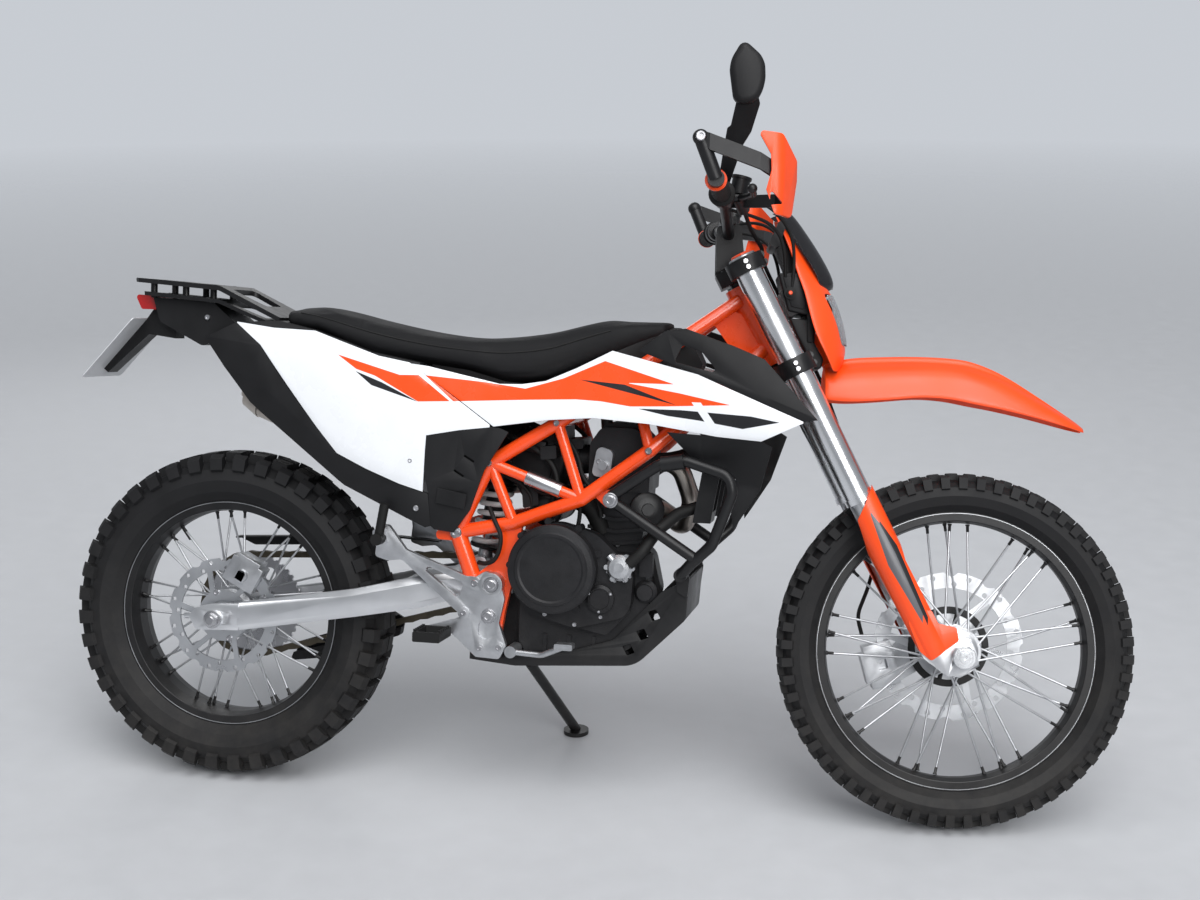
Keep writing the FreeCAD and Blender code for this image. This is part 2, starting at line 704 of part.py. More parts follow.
def engine_fittings():
    """The bright pieces on the right of the engine: the water pump cover and the thermostat housing."""
    face = CASE_HALF + COVER_WALL
    pump = [turned_at([(0, 0), (26, 0), (26, -9), (20, -15), (10, -17), (0, -17)], 848, 497)]
    for angle in range(0, 360, 60):
        x = 848 + 26 * math.cos(math.radians(angle))
        z = 497 + 26 * math.sin(math.radians(angle))
        pump.append(cross_rod(x, z, 0, -11, 5))
    pump.append(rod(point(848, 497, -8), point(826, 520, -8), 7))
    cover = join(pump)
    cover.translate(Vector(0, -face, 0))
    housing = slab([(775, 672, 10), (812, 666, 10), (818, 722, 12), (786, 732, 12)], -80, -66)
    boss = cross_rod(799, 693, -80, -92, 9)
    return Part.makeCompound([cover, join([housing, boss])])


def cylinder():
    """The barrel, its V ribs and the head with its cam cover, filler neck and injector rail."""
    barrel = slab([(772, 515), (877, 512), (885, 640), (775, 640)], -CYLINDER_HALF, CYLINDER_HALF)
    ribs = []
    for i in range(4):
        z = 540 + 24 * i
        ribs.append(slab([(768, z), (826, z - 8), (888, z), (888, z + 7), (826, z - 1), (768, z + 7)],
                         -CYLINDER_HALF - 7, CYLINDER_HALF + 7))
    head = slab([(766, 640, 5), (890, 640, 5), (893, 735, 15), (860, 768, 20), (790, 768, 20),
                 (768, 735, 15)], -66, 66)
    cover = slab([(778, 736, 6), (882, 736, 6), (862, 776, 14), (794, 776, 14)], -54, 54)
    neck = rod(point(800, 738, -40), point(795, 792, -40), 12)
    throttle = rod(point(775, 700, 0), point(655, 690, 0), 30)
    ring = rod(point(740, 697, 0), point(722, 696, 0), 37)
    fuel_rail = slab([(700, 716, 4), (750, 722, 4), (750, 742, 4), (700, 738, 4)], -46, 46)
    return join([barrel, head, cover, neck, throttle, ring, fuel_rail] + ribs)


def electrics():
    """The regulator and relay boxes that sit inside the right side of the trellis."""
    regulator = slab([(676, 700, 3), (708, 704, 3), (706, 730, 3), (674, 726, 3)], -104, -40)
    stay = slab([(640, 650, 4), (690, 676, 4), (690, 704, 4), (636, 690, 4)], -60, -30)
    relay = slab([(640, 600, 4), (672, 608, 4), (668, 646, 4), (636, 640, 4)], -92, -50)
    arm = slab([(636, 640), (660, 640), (656, 672), (640, 672)], -60, -50)
    return join([regulator, stay, relay, arm])


def coolant_hoses():
    """Two hoses on the right: from the head and from the water pump to the radiator."""
    upper = pipe([point(884, 706, -50), point(930, 712, -60), point(968, 722, -76), point(992, 715, -76)],
                 12, 40)
    lower = pipe([
        point(866, 505, -CASE_HALF - COVER_WALL - 8), point(890, 528, -136), point(918, 572, -122),
        point(955, 606, -90),
        point(990, 618, -76),
    ], 12, 45)
    return Part.makeCompound([upper, lower])


# Rear suspension

def swingarm():
    outer = BEAM_INNER + BEAM_WALL

    def ring(x, z, half, y0, y1):
        ease = (y1 - y0) * 0.32
        bevel = half * 0.45
        return [
            point(x, z - half, y0 + 4), point(x, z - half, y1 - ease), point(x, z - half + bevel, y1),
            point(x, z + half - bevel, y1), point(x, z + half, y1 - ease), point(x, z + half, y0 + 4),
            point(x, z + half - 4, y0), point(x, z - half + 4, y0),
        ]
    beam = loft([
        ring(PIVOT_X + 34, PIVOT_Z, 22, 68, 96),
        ring(PIVOT_X - 60, PIVOT_Z - 8, 26, 68, 96),
        ring(430, 419, 33, 80, 112),
        ring(300, 391, BEAM_HALF, BEAM_INNER, outer),
        ring(REAR_X + 48, REAR_Z + 6, BEAM_HALF, BEAM_INNER, outer),
    ])
    block = slab([
        (REAR_X + 50, REAR_Z + 33), (REAR_X - 14, REAR_Z + 28, 6), (REAR_X - 44, REAR_Z + 20, 6),
        (REAR_X - 60, REAR_Z + 2, 8),
        (REAR_X - 42, REAR_Z - 26, 6), (REAR_X + 50, REAR_Z - 22),
    ], BEAM_INNER, outer - 2)
    slot = slab([(REAR_X - 26, REAR_Z - 12, 6), (REAR_X + 26, REAR_Z - 10, 6),
                 (REAR_X + 26, REAR_Z + 12, 6), (REAR_X - 26, REAR_Z + 10, 6)], outer - 4, outer)
    nut = cross_rod(REAR_X, REAR_Z, outer - 4, outer + 8, 17)
    bolt = rod(point(REAR_X - 56, REAR_Z + 2, 108), point(REAR_X - 72, REAR_Z, 108), 6)
    bridge = slab([(385, 396, 8), (480, 404, 8), (480, 446, 8), (392, 442, 8)], -95, 95)
    spindle = cross_rod(PIVOT_X, PIVOT_Z, -101, 101, PIVOT_R)
    sleeves = [
        cross_rod(REAR_X, REAR_Z, CHAIN_Y + 5, outer - 2, AXLE_R + 6),
        cross_rod(REAR_X, REAR_Z, REAR_DISC_Y - 5, 2 - outer, AXLE_R + 6),
        cross_rod(REAR_X, REAR_Z, -outer - 14, outer + 14, AXLE_R - FIT),
    ]
    clevis = slab([(440, 404), (476, 402), (560, 462, 10), (552, 490, 12), (526, 490, 10), (450, 446)], -40,
                  40)
    room = slab([(506, 446), (570, 446), (570, 500), (506, 500)], -20, 20)
    half = [beam, block.cut(slot), nut, bolt]
    return join(half + [mirrored(part) for part in half] + [bridge, spindle] + sleeves + [clevis]).cut(room)


SHOCK_FOOT = point(538, 472)
SHOCK_HEAD = point(577, 691)


def shock():
    """The damper, its seven coils and its spring seats, between its two eyes."""
    run = SHOCK_HEAD - SHOCK_FOOT
    length = run.Length
    coils = 6
    start = 34.0
    pitch = 19.0
    outline = [(0, 0), (12, 0), (12, start - 6), (30, start - 6), (30, start)]
    for i in range(coils):
        base = start + pitch * i
        outline += [(24, base), (36, base + 4), (36, base + 9), (24, base + 13)]
    top = start + pitch * coils
    outline += [(24, top - 4), (34, top - 4), (34, top + 8), (27, top + 12), (27, length - 14),
                (12, length - 14), (12, length), (0, length)]
    body = section(outline).revolve(ORIGIN, Y_AXIS, 360)
    body.Placement = Placement(SHOCK_FOOT, Rotation(Y_AXIS, run))
    low = rod(SHOCK_FOOT + Vector(0, -19.7, 0), SHOCK_FOOT + Vector(0, 19.7, 0), 15)
    high = rod(SHOCK_HEAD + Vector(0, -26, 0), SHOCK_HEAD + Vector(0, 26, 0), 15)
    tank = rod(SHOCK_HEAD + run.normalize() * -70 + Vector(0, -46, 0), SHOCK_HEAD + Vector(0, -46, 0), 19)
    web = rod(SHOCK_HEAD + Vector(0, -20, 0), SHOCK_HEAD + Vector(0, -46, 0), 12)
    return join([body, low, high, tank, web])


# Body

SEAT_STATIONS = [
    (120, 960, 992, 92), (203, 943, 983, 112), (326, 903, 957, 124), (429, 885, 939, 128),
    (521, 873, 931, 126),
    (596, 853, 935, 118), (683, 860, 948, 104), (741, 887, 964, 96), (813, 919, 982, 84), (922, 968, 988, 56),
]
SIDE_STATIONS = [
    (-45, [(850, 92), (880, 100), (921, 104), (950, 100), (975, 88)]),
    (90, [(760, 118), (830, 126), (909, 120), (945, 108), (975, 95)]),
    (265, [(625, 132), (700, 146), (830, 146), (923, 126), (945, 118)]),
    (410, [(560, 140), (650, 152), (765, 152), (885, 136), (900, 130)]),
    (585, [(540, 136), (650, 146), (762, 148), (850, 132), (870, 125)]),
    (700, [(560, 132), (680, 146), (783, 156), (860, 134), (885, 125)]),
    (820, [(560, 130), (700, 150), (790, 168), (915, 132), (935, 120)]),
    (1000, [(560, 108), (690, 150), (768, 182), (884, 176), (985, 150)]),
    (1120, [(560, 104), (663, 116), (760, 194), (848, 188), (945, 160)]),
    (1235, [(560, 104), (663, 114), (760, 196), (806, 202), (945, 160)]),
]
REAR_PANEL = [
    (30, 955), (113, 945), (204, 942), (262, 923), (345, 896), (409, 885), (585, 764), (519, 755),
    (454, 743), (439, 724), (457, 625), (398, 643), (327, 670), (265, 698), (219, 750), (154, 829), (88, 910),
]
SHROUD = [
    (409, 885), (448, 879), (595, 849), (688, 858), (819, 922), (994, 883), (1082, 848), (1203, 801),
    (1122, 761), (1036, 766), (905, 784), (793, 791), (702, 783), (585, 764),
]
UPPER_SCOOP = [
    (872, 924), (923, 964), (964, 970), (1061, 939), (1120, 916), (1227, 806), (1203, 801), (1082, 848),
    (994, 883),
]
LOWER_SCOOP = [
    (938, 770), (1036, 766), (1122, 761), (1142, 750), (1117, 663), (1079, 601), (1066, 581), (1058, 640),
    (1070, 682), (1001, 708),
]
VENTED_COVER = [
    (454, 743), (519, 755), (585, 764), (601, 762), (619, 755), (571, 677), (543, 596), (506, 544),
    (481, 542), (462, 560), (458, 625), (439, 724),
]
SHORT_COVER = [
    (454, 743), (519, 755), (585, 764), (601, 762), (619, 755), (571, 677), (562, 664), (450, 664),
    (439, 724),
]
COVER_SLITS = [(540, 700), (520, 670), (508, 620)]
TAIL_SIDE = [
    (-39, 921), (30, 955), (88, 910), (154, 829), (219, 750), (265, 698), (327, 670), (398, 643), (457, 625),
    (462, 560), (451, 556), (380, 588), (278, 633), (162, 718), (66, 792), (4, 865),
]
TAIL_SIDE_LEFT = TAIL_SIDE[:8] + TAIL_SIDE[11:]


def side_block(inset):
    """The left half of the bodywork's outer form, from the middle plane out to its skin."""
    sections = []
    for x, edge in SIDE_STATIONS:
        places = [point(x, edge[0][0], 0)]
        places += [point(x, z, y - inset) for z, y in edge]
        places.append(point(x, edge[-1][0], 0))
        sections.append(places)
    return loft(sections)


def seat():
    sections = []
    for x, low, top, half in SEAT_STATIONS:
        crown = (top - low) * 0.3
        sections.append([
            point(x, low, -half), point(x, top - crown, -half * 0.98), point(x, top, -half * 0.72),
            point(x, top, half * 0.72), point(x, top - crown, half * 0.98), point(x, low, half),
        ])
    return loft(sections)


def bodywork():
    """The panels, each cut from one outer form, and the tank under them."""
    outer = side_block(0)
    inner = side_block(SKIN)
    wide = 260.0

    def panel(outline):
        return slab(outline, 0, wide).common(outer).cut(inner)

    seat_shape = seat()
    tank_side = slab([
        (-39, 921), (30, 955), (120, 960), (203, 943), (270, 923), (326, 903), (429, 885), (440, 745),
        (435, 700), (398, 643), (372, 590), (278, 633), (162, 718), (66, 792), (4, 865),
    ], 0, wide).common(inner)
    deep = SKIN + 8
    lower_inner = side_block(deep)

    def tail_side(outline):
        front = slab([(398, 500), (600, 500), (600, 700), (398, 700)], 0, wide)
        whole = slab(outline, 0, wide).common(outer)
        return whole.cut(front.common(lower_inner))

    left = join([tank_side, tail_side(TAIL_SIDE_LEFT)])
    right = join([mirrored(tank_side), mirrored(tail_side(TAIL_SIDE))])
    tank = join([left, right]).cut(seat_shape)
    slits = []
    for x, z in COVER_SLITS:
        slits.append(slab([(x - 9, z + 7, 1.5), (x + 11, z - 5, 1.5), (x + 9, z - 9, 1.5),
                           (x - 11, z + 3, 1.5)], 100, 200))
    long_cover = panel(VENTED_COVER).cut(Part.makeCompound(slits))
    vent = slab([(945, 905, 5), (1035, 886, 5), (1000, 925, 5), (960, 938, 5)], 100, 240)
    return {
        "seat": seat_shape,
        "fuel_tank": tank,
        "side_panels": pair(panel(REAR_PANEL).cut(seat_shape)),
        "shrouds": pair(panel(SHROUD).cut(seat_shape)),
        "scoops": pair(join([panel(UPPER_SCOOP), panel(LOWER_SCOOP)]).cut(seat_shape).cut(vent)),
        "vented_covers": Part.makeCompound([mirrored(long_cover), panel(SHORT_COVER)]),
    }


def airbox():
    side = slab([
        (445, 748), (585, 768), (702, 787), (900, 787), (960, 840), (985, 900), (960, 950), (928, 971),
        (813, 919),
        (741, 887), (683, 860), (640, 850), (596, 853), (521, 873), (445, 882),
    ], -120, 120)
    top = plan([(440, -96), (690, -96), (900, -55), (990, -35), (990, 35), (900, 55), (690, 96), (440, 96)],
               700, 1000)
    return side.common(top)


def radiators():
    """A radiator behind each scoop: its tanks, and the core between them set back a little."""
    tall = slab([(985, 590), (1020, 590), (1046, 752), (1010, 752)], 40, 106)
    face_cut = slab([(984, 612), (990, 612), (1012, 730), (1006, 730)], 46, 100)
    front_cut = slab([(1018, 612), (1040, 612), (1060, 730), (1037, 730)], 46, 100)
    hanger = rod(point(1018, 745, 74), point(1001, 826, 74), 9)
    return join([tall.cut(Part.makeCompound([face_cut, front_cut])), hanger])


def skid_plate():
    """The belly plate with its turned-up sides, slotted at the front."""
    wall = SKID_WALL
    belly = slab([
        (983, 477), (978, 396, 20), (880, 298, 60), (635, 282, 30), (541, 290), (541, 290 + wall),
        (635, 282 + wall, 30), (880 - 3, 298 + wall, 60), (978 - wall, 396, 20), (983 - wall, 477),
    ], -SKID_HALF, SKID_HALF)
    wing = slab([
        (983, 477), (978, 396, 20), (880, 298, 60), (635, 282, 30), (541, 290), (541, 307),
        (733, 315, 20), (835, 347, 30), (930, 451, 20),
    ], SKID_HALF - SKID_SIDE, SKID_HALF)
    slots = []
    for x, z in ((915, 402), (893, 362), (866, 330)):
        corners = [(x - 13, z + 6, 2), (x + 3, z + 12, 2), (x + 13, z - 6, 2), (x - 3, z - 12, 2)]
        slots.append(slab(corners, CASE_HALF - 6, SKID_HALF + 6))
    front_slots = []
    for y in (-60, -20, 20, 60):
        front_slots.append(plan([(900, y - 10, 4), (1000, y - 10, 4), (1000, y + 10, 4), (900, y + 10, 4)],
                                345, 370))
    wing = wing.cut(Part.makeCompound(slots))
    return join([belly.cut(Part.makeCompound(front_slots)), wing, mirrored(wing)])


def crash_bars():
    hoop = pipe([
        point(831, 640, 164), point(925, 706, 172), point(978, 716, 176), point(1062, 692, 184),
        point(1070, 660, 184),
        point(1032, 554, 168), point(991, 515, 150), point(968, 488, 128),
    ], CRASH_R, 30)
    lower = rod(point(831, 631, 158), point(1000, 524, 153), CRASH_R)
    sleeve = rod(point(930, 707, 172.4), point(974, 715, 175.7), CRASH_R + 4)
    boss = rod(CRASH_BOLT + Vector(0, 10, 0), point(CRASH_BOLT.x, CRASH_BOLT.z, 176), 13)
    foot = cross_rod(968, 488, SKID_HALF, 136, 13)
    toe = slab([(976, 500, 8), (984, 478, 3), (980, 440, 3), (960, 452, 3), (956, 486, 8)],
               SKID_HALF, SKID_HALF + 6)
    return join([hoop, lower, sleeve, boss, foot, toe])


def exhaust():
    header = pipe([
        point(880, 700, 0), point(940, 698, 0), point(968, 622, 10), point(945, 556, 60), point(905, 590, 85),
        point(700, 642, 86), point(565, 630, 80), point(505, 610, 92), point(440, 598, 168),
        point(380, 632, 198),
    ], HEADER_R, 45)
    mouth = point(384, 630, 198)
    tail_end = point(-60, 800, 198)
    run = (tail_end - mouth).normalize()
    cone = Part.makeCone(HEADER_R, SILENCER_R, 70, mouth, run)
    can = rod(mouth + run * 70, tail_end - run * 40, SILENCER_R)
    cap = Part.makeCone(SILENCER_R + 2, SILENCER_R - 10, 40, tail_end - run * 40, run)
    outlet = rod(tail_end - run * 30, tail_end + run * 12, 17)
    bore = rod(tail_end - run * 26, tail_end + run * 14, 14)
    band = rod(mouth + run * 210, mouth + run * 232, SILENCER_R + 3)
    hanger = slab([(205, 700, 6), (245, 690, 6), (230, 750, 8), (210, 752, 8)], 140, 165)
    return join([header, cone, can, cap, outlet, band, hanger.cut(can)]).cut(bore)


# Tail

def rack_frame():
    """The middle of the rack's top face, its direction forward and its normal."""
    rear = point(-205, 1040)
    ahead = (point(-14, 1028) - rear).normalize()
    upright = Vector(-ahead.z, 0, ahead.x)
    return rear + ahead * 100, ahead, upright


def luggage_rack():
    """Two flat tiers with slots between their bars, on short posts, and the arms to the seat's sides."""
    top = slab([(-205, 1040, 3), (-14, 1028, 20), (118, 966), (116, 957), (-16, 1018, 20), (-202, 1031)],
               -92, 92)
    low = slab([(-185, 1012), (-20, 1000, 20), (100, 952), (98, 945), (-22, 992, 20), (-184, 1004)], -80, 80)
    slots = []
    for i in range(3):
        x = -186 + 56 * i
        slots.append(plan([(x, -40, 5), (x + 20, -40, 5), (x + 20, 40, 5), (x, 40, 5)], 900, 1100))
    for side in (-1, 1):
        slots.append(plan([(-190, side * 62, 4), (-60, side * 62, 4), (-60, side * 78, 4),
                           (-190, side * 78, 4)], 1020, 1100))
    slots.append(plan([(0, -60, 12), (70, -44, 12), (70, 44, 12), (0, 60, 12)], 900, 1100))
    corner_cut = [plan([(-220, side * 95), (-220, side * 60), (-190, side * 95)], 900,
                       1100) for side in (-1, 1)]
    posts = []
    for x in (-176, -105, -44):
        for y in (-52, 52):
            posts.append(rod(point(x, 1000, y), point(x, 1030, y), 7))
    middle, along_rack, upright = rack_frame()
    half = RACK_HOLES / 2
    holes = []
    for i in (-half, half):
        for j in (-half, half):
            start = middle + along_rack * i + Vector(0, j, 0) - upright * 20
            holes.append(Part.makeCylinder(RACK_HOLE_R, 40, start, upright))
    cuts = Part.makeCompound(slots + corner_cut)
    return join([top.cut(cuts), low.cut(cuts)] + posts).cut(Part.makeCompound(holes))


PLATE_TOP = point(-205, 955)
PLATE_LOW = point(-318, 828)


def tail():
    """The black tail housing behind the tank and the tongue that carries the plate."""
    housing = slab([(-175, 1000), (-160, 950, 15), (-60, 900, 15), (-39, 921), (10, 950), (-40, 992)], -58,
                   58)
    run = (PLATE_TOP - PLATE_LOW).normalize()
    behind = Vector(run.z, 0, -run.x) * 12
    high = PLATE_TOP - run * 6
    low = PLATE_LOW + run * 24
    tongue = slab([(high.x, high.z), (low.x, low.z), (low.x + behind.x, low.z + behind.z),
                   (high.x + behind.x, high.z + behind.z - 20), (-140, 915), (-140, 985), (-174, 998)], -22,
                   22)
    lamp = cross_rod(-196, 940, -16, 16, 9)
    return join([housing, tongue, lamp])


def licence_plate():
    across = Vector(0, PLATE_WIDTH / 2, 0)
    wall = Vector(-1.5, 0, 1.3)
    corners = [(PLATE_TOP - across, 8), (PLATE_TOP + across, 8), (PLATE_LOW + across, 8),
               (PLATE_LOW - across, 8)]
    return Part.Face(rounded(corners)).extrude(wall)


def tail_light():
    return slab([(-222, 1006, 6), (-207, 975, 6), (-175, 975), (-175, 1003)], -45, 45)


# Foot controls

def peg_brackets():
    """The cast bracket at the pivot and the open arm that reaches back to the passenger peg."""
    face = BRACKET_Y + BRACKET_WALL
    arm = slab([(622, 325, 8), (608, 298, 8), (560, 300, 8), (500, 352, 10), (470, 336, 6), (455, 344, 6),
                (458, 356, 6),
                (512, 372, 14), (536, 385, 8), (528, 402, 8), (556, 430, 8), (540, 450, 12), (560, 464, 10),
                (575, 474, 14),
                (604, 466, 16), (616, 420, 12), (606, 370, 12)], BRACKET_Y, face)
    hook = slab([(566, 372, 10), (600, 380, 10), (602, 340, 16), (560, 334, 16)], BRACKET_Y + 6, face + 1)
    upper = slab([(560, 462, 8), (536, 462, 8), (410, 508, 8), (372, 556, 8), (352, 556, 6), (345, 492, 8),
                  (372, 484, 6),
                  (402, 488, 12), (532, 378, 8), (546, 392, 8)], BRACKET_Y, face)
    window = slab([(420, 492, 6), (532, 448, 6), (524, 424, 6), (520, 416, 6)], BRACKET_Y - 5, face + 5)
    eyes = [
        cross_rod(PIVOT_X, PIVOT_Z, BRACKET_Y, face + 9, 24), cross_rod(555, 449, BRACKET_Y, face + 5, 13),
        cross_rod(534, 388, BRACKET_Y, face + 5, 12), cross_rod(608, 322, BRACKET_Y, face + 3, 11),
        cross_rod(568, 318, BRACKET_Y, face + 2, 9),
    ]
    fork = slab([(346, 512, 6), (372, 520, 6), (366, 552, 6), (342, 546, 6)], face, face + 12)
    recess = cross_rod(PIVOT_X, PIVOT_Z, face + 5, face + 10, 17)
    return join([arm.cut(hook), upper.cut(window), fork] + eyes).cut(recess)


def pegs():
    """The riders' pegs with their toothed edges, and the passenger's rubber pegs folded up."""
    face = BRACKET_Y + BRACKET_WALL
    rider = slab([(452, 338, 3), (508, 338, 3), (508, 358, 3), (452, 358, 3)], face, face + 84)
    teeth = []
    for i in range(6):
        y = face + 12 + 12 * i
        for x in (452, 503):
            teeth.append(Part.makeBox(5, 6, 5, Vector(x, y, 357)))
    opening = plan([(459, face + 10, 3), (501, face + 10, 3), (501, face + 78, 3), (459, face + 78, 3)],
                   330, 370)
    rider = join([rider.cut(opening)] + teeth)
    barrel = cross_rod(359, 530, face + 8, face + 40, 12)
    passenger = join([barrel, rod(point(359, 530, face + 24), point(372, 602, face + 28), 9.5)])
    return Part.makeCompound([rider, mirrored(rider), passenger, mirrored(passenger)])


def foot_levers():
    """The brake pedal on the right and the gear lever on the left."""
    face = BRACKET_Y + BRACKET_WALL
    brake_hub = cross_rod(636, 318, -CASE_HALF - 4, -face - 22, 12)
    brake_arm = pipe([point(636, 318, -face - 14), point(700, 316, -face - 20),
                      point(750, 340, -face - 40)], 6, 30)
    brake_pad = slab([(732, 335, 3), (768, 335, 3), (768, 347, 3), (732, 347, 3)], -face - 58, -face - 30)
    gear_hub = cross_rod(700, 385, CASE_HALF, face + 14, 9)
    gear_arm = pipe([point(700, 385, face + 8), point(790, 350, face + 12), point(800, 350, face + 46)], 6, 8)
    gear_tip = cross_rod(800, 350, face + 16, face + 50, 10)
    return Part.makeCompound([join([brake_hub, brake_arm, brake_pad]), join([gear_hub, gear_arm, gear_tip])])


def caliper(reach, wide, tall, disc_y, side, slot_r, pistons):
    """A brake caliper drawn ahead of its axle: a body over the disc's edge, with its piston drums."""
    inner = 20.0
    outer = 22.0
    y0 = disc_y - (inner if side > 0 else outer)
    body = Part.makeBox(wide, inner + outer, tall, Vector(reach, y0, -tall / 2))
    nose = Part.makeBox(wide * 0.3, inner + outer, tall * 0.7, Vector(reach + wide * 0.85, y0, -tall * 0.35))
    drums = []
    for z in pistons:
        start = disc_y - 14 if side < 0 else disc_y + 14
        drums.append(Part.makeCylinder(tall * 0.19, 18, Vector(reach + wide * 0.45, start, z),
                                       Vector(0, side, 0)))
    window = Part.makeBox(wide * 0.3, 100, tall * 0.22, Vector(reach + wide * 0.3, disc_y - 50, -tall * 0.11))
    slot = Part.makeBox(slot_r - reach + 1, DISC_WALL + 3, tall + 20,
                        Vector(reach - 1, disc_y - DISC_WALL / 2 - 1.5, -tall / 2 - 10))
    return join([body, nose] + drums).cut(slot).cut(window)


def rear_caliper():
    """The rear caliper above the swingarm, on its bracket over the disc."""
    block = caliper(76, 56, 72, REAR_DISC_Y, -1, 125, [0])
    block.rotate(ORIGIN, Y_AXIS, -62)
    return about_axle(block, REAR_X, REAR_Z)


# Steering group

def clamps():
    """The two triple clamps: each a bridge and two rings, joined by the stem."""
    half = FORK_HALF
    parts = []
    for rise, thick in ((0.0, LOWER_CLAMP), (CLAMP_GAP, UPPER_CLAMP)):
        bridge = [(-34, -30), (44, -half), (44, half), (-34, 30)]
        sections = [[along(level, d, y) for d, y in bridge] for level in (rise - thick / 2, rise + thick / 2)]
        parts.append(loft(sections))
        for y in (-half, half):
            parts.append(rod(along(rise - thick / 2, CLAMP_OFFSET, y),
                             along(rise + thick / 2, CLAMP_OFFSET, y),
                             FORK_TUBE_R + CLAMP_WALL))
            lug_y = y + (14 if y < 0 else -14)
            for level in (-8, 8):
                parts.append(rod(along(rise + level, CLAMP_OFFSET + 36, lug_y - 16),
                                 along(rise + level, CLAMP_OFFSET + 36, lug_y + 16), 7))
    stem = rod(along(0, 0), along(CLAMP_GAP, 0), STEM_R)
    nut = rod(along(CLAMP_GAP + UPPER_CLAMP / 2, 0), along(CLAMP_GAP + UPPER_CLAMP / 2 + 10, 0), 19)
    solid = join(parts + [stem, nut])
    holes = [rod(along(-40, CLAMP_OFFSET, y), along(CLAMP_GAP + 40, CLAMP_OFFSET, y), FORK_TUBE_R)
             for y in (-half, half)]
    return solid.cut(Part.makeCompound(holes))


def fork_leg(low, high, radius):
    return rod(along(low, CLAMP_OFFSET, FORK_HALF), along(high, CLAMP_OFFSET, FORK_HALF), radius)


def fork_tubes():
    """The outer tubes, with a wider wiper ring at the foot and a stepped cap at the top."""
    top = CLAMP_GAP + FORK_TUBE_RISE
    tube = fork_leg(-FORK_TUBE_DROP, top, FORK_TUBE_R)
    wiper = fork_leg(-FORK_TUBE_DROP, 12 - FORK_TUBE_DROP, FORK_TUBE_R + 2)
    cap = fork_leg(top, top + 5, FORK_TUBE_R - 5)
    adjuster = fork_leg(top + 5, top + 10, 9)
    return pair(join([tube, wiper, cap, adjuster]).cut(fork_leg(-FORK_DROP, 30 - FORK_TUBE_DROP, SLIDER_R)))


def fork_lowers():
    """The inner legs with the forged axle feet, the axle, and the ear for the caliper."""
    leg = fork_leg(26 - FORK_DROP, 30 - FORK_TUBE_DROP, SLIDER_R)
    axle_at = CLAMP_OFFSET + AXLE_LEAD
    lug = []
    for rise, d in ((76, 0), (30, -4), (-22, 22), (-30, 56), (-24, 88), (20, 96), (44, 74), (76, 44)):
        lug.append((along(-FORK_DROP + rise, d, FORK_HALF - 22), 8))
    foot = Part.Face(rounded(lug)).extrude(Vector(0, 44, 0))
    pinch = rod(along(-FORK_DROP - 22, axle_at - 14, FORK_HALF),
                along(-FORK_DROP - 22, axle_at + 22, FORK_HALF), 11)
    axle = rod(along(-FORK_DROP, axle_at, -FORK_HALF - 34), along(-FORK_DROP, axle_at, FORK_HALF + 34),
               AXLE_R - FIT)
    nuts = [rod(along(-FORK_DROP, axle_at, side * (FORK_HALF + 20)),
                along(-FORK_DROP, axle_at, side * (FORK_HALF + 30)), 20)
            for side in (-1, 1)]
    stub = rod(along(-FORK_DROP, axle_at, FRONT_DISC_Y + 6), along(-FORK_DROP, axle_at, FORK_HALF), 16)
    spacer = rod(along(-FORK_DROP, axle_at, -FORK_HALF), along(-FORK_DROP, axle_at, -67), 16)
    ear_face = FRONT_DISC_Y + 22
    ear_points = [(along(-FORK_DROP + rise, d, ear_face), 6)
                  for rise, d in ((60, 0), (40, -50), (10, -82), (-26, -60), (-20, 0), (0, 20))]
    ear = Part.Face(rounded(ear_points)).extrude(Vector(0, 10, 0))
    half = [leg, foot, pinch]
    return join(half + [mirrored(part) for part in half] + [stub, axle, spacer, ear] + nuts)


GUARD = [
    (180, -202), (149, -281), (175, -347), (276, -526), (299, -544), (351, -503), (345, -478), (310, -472),
    (244, -354), (222, -278), (196, -206),
]


def fork_guards():
    """A guard over the outer side of each leg that widens into a boot over the axle's foot."""
    wall = 3.0
    outer = fork_leg(-FORK_DROP - 10, 92 - FORK_TUBE_DROP, SLIDER_R + 9)
    inner = fork_leg(-FORK_DROP - 11, 93 - FORK_TUBE_DROP, SLIDER_R + 9 - wall)
    boot = []
    for rise, d in ((110, 0), (-10, -8), (-10, 60), (40, 92), (110, 46)):
        boot.append((along(-FORK_DROP + rise, d, FORK_HALF), 10))
    boot_outer = Part.Face(rounded(boot)).extrude(Vector(0, 27, 0))
    boot_inner = Part.Face(rounded([(p, r) for p, r in boot])).extrude(Vector(0, 27 - wall, 0))
    side = head_slab([p + (6,) for p in GUARD], FORK_HALF - 6, FORK_HALF + 60)
    shell = join([outer, boot_outer]).cut(inner).cut(boot_inner)
    return largest(shell.common(side))


FENDER = [
    (82, 23, -50, 66), (130, 36, -52, 72), (200, 42, -46, 74), (273, 45, -38, 70), (330, 44, -40, 66),
    (372, 39, -47, 64), (430, 18, -56, 60), (500, -22, -70, 52), (591, -79, -92, 36),
]


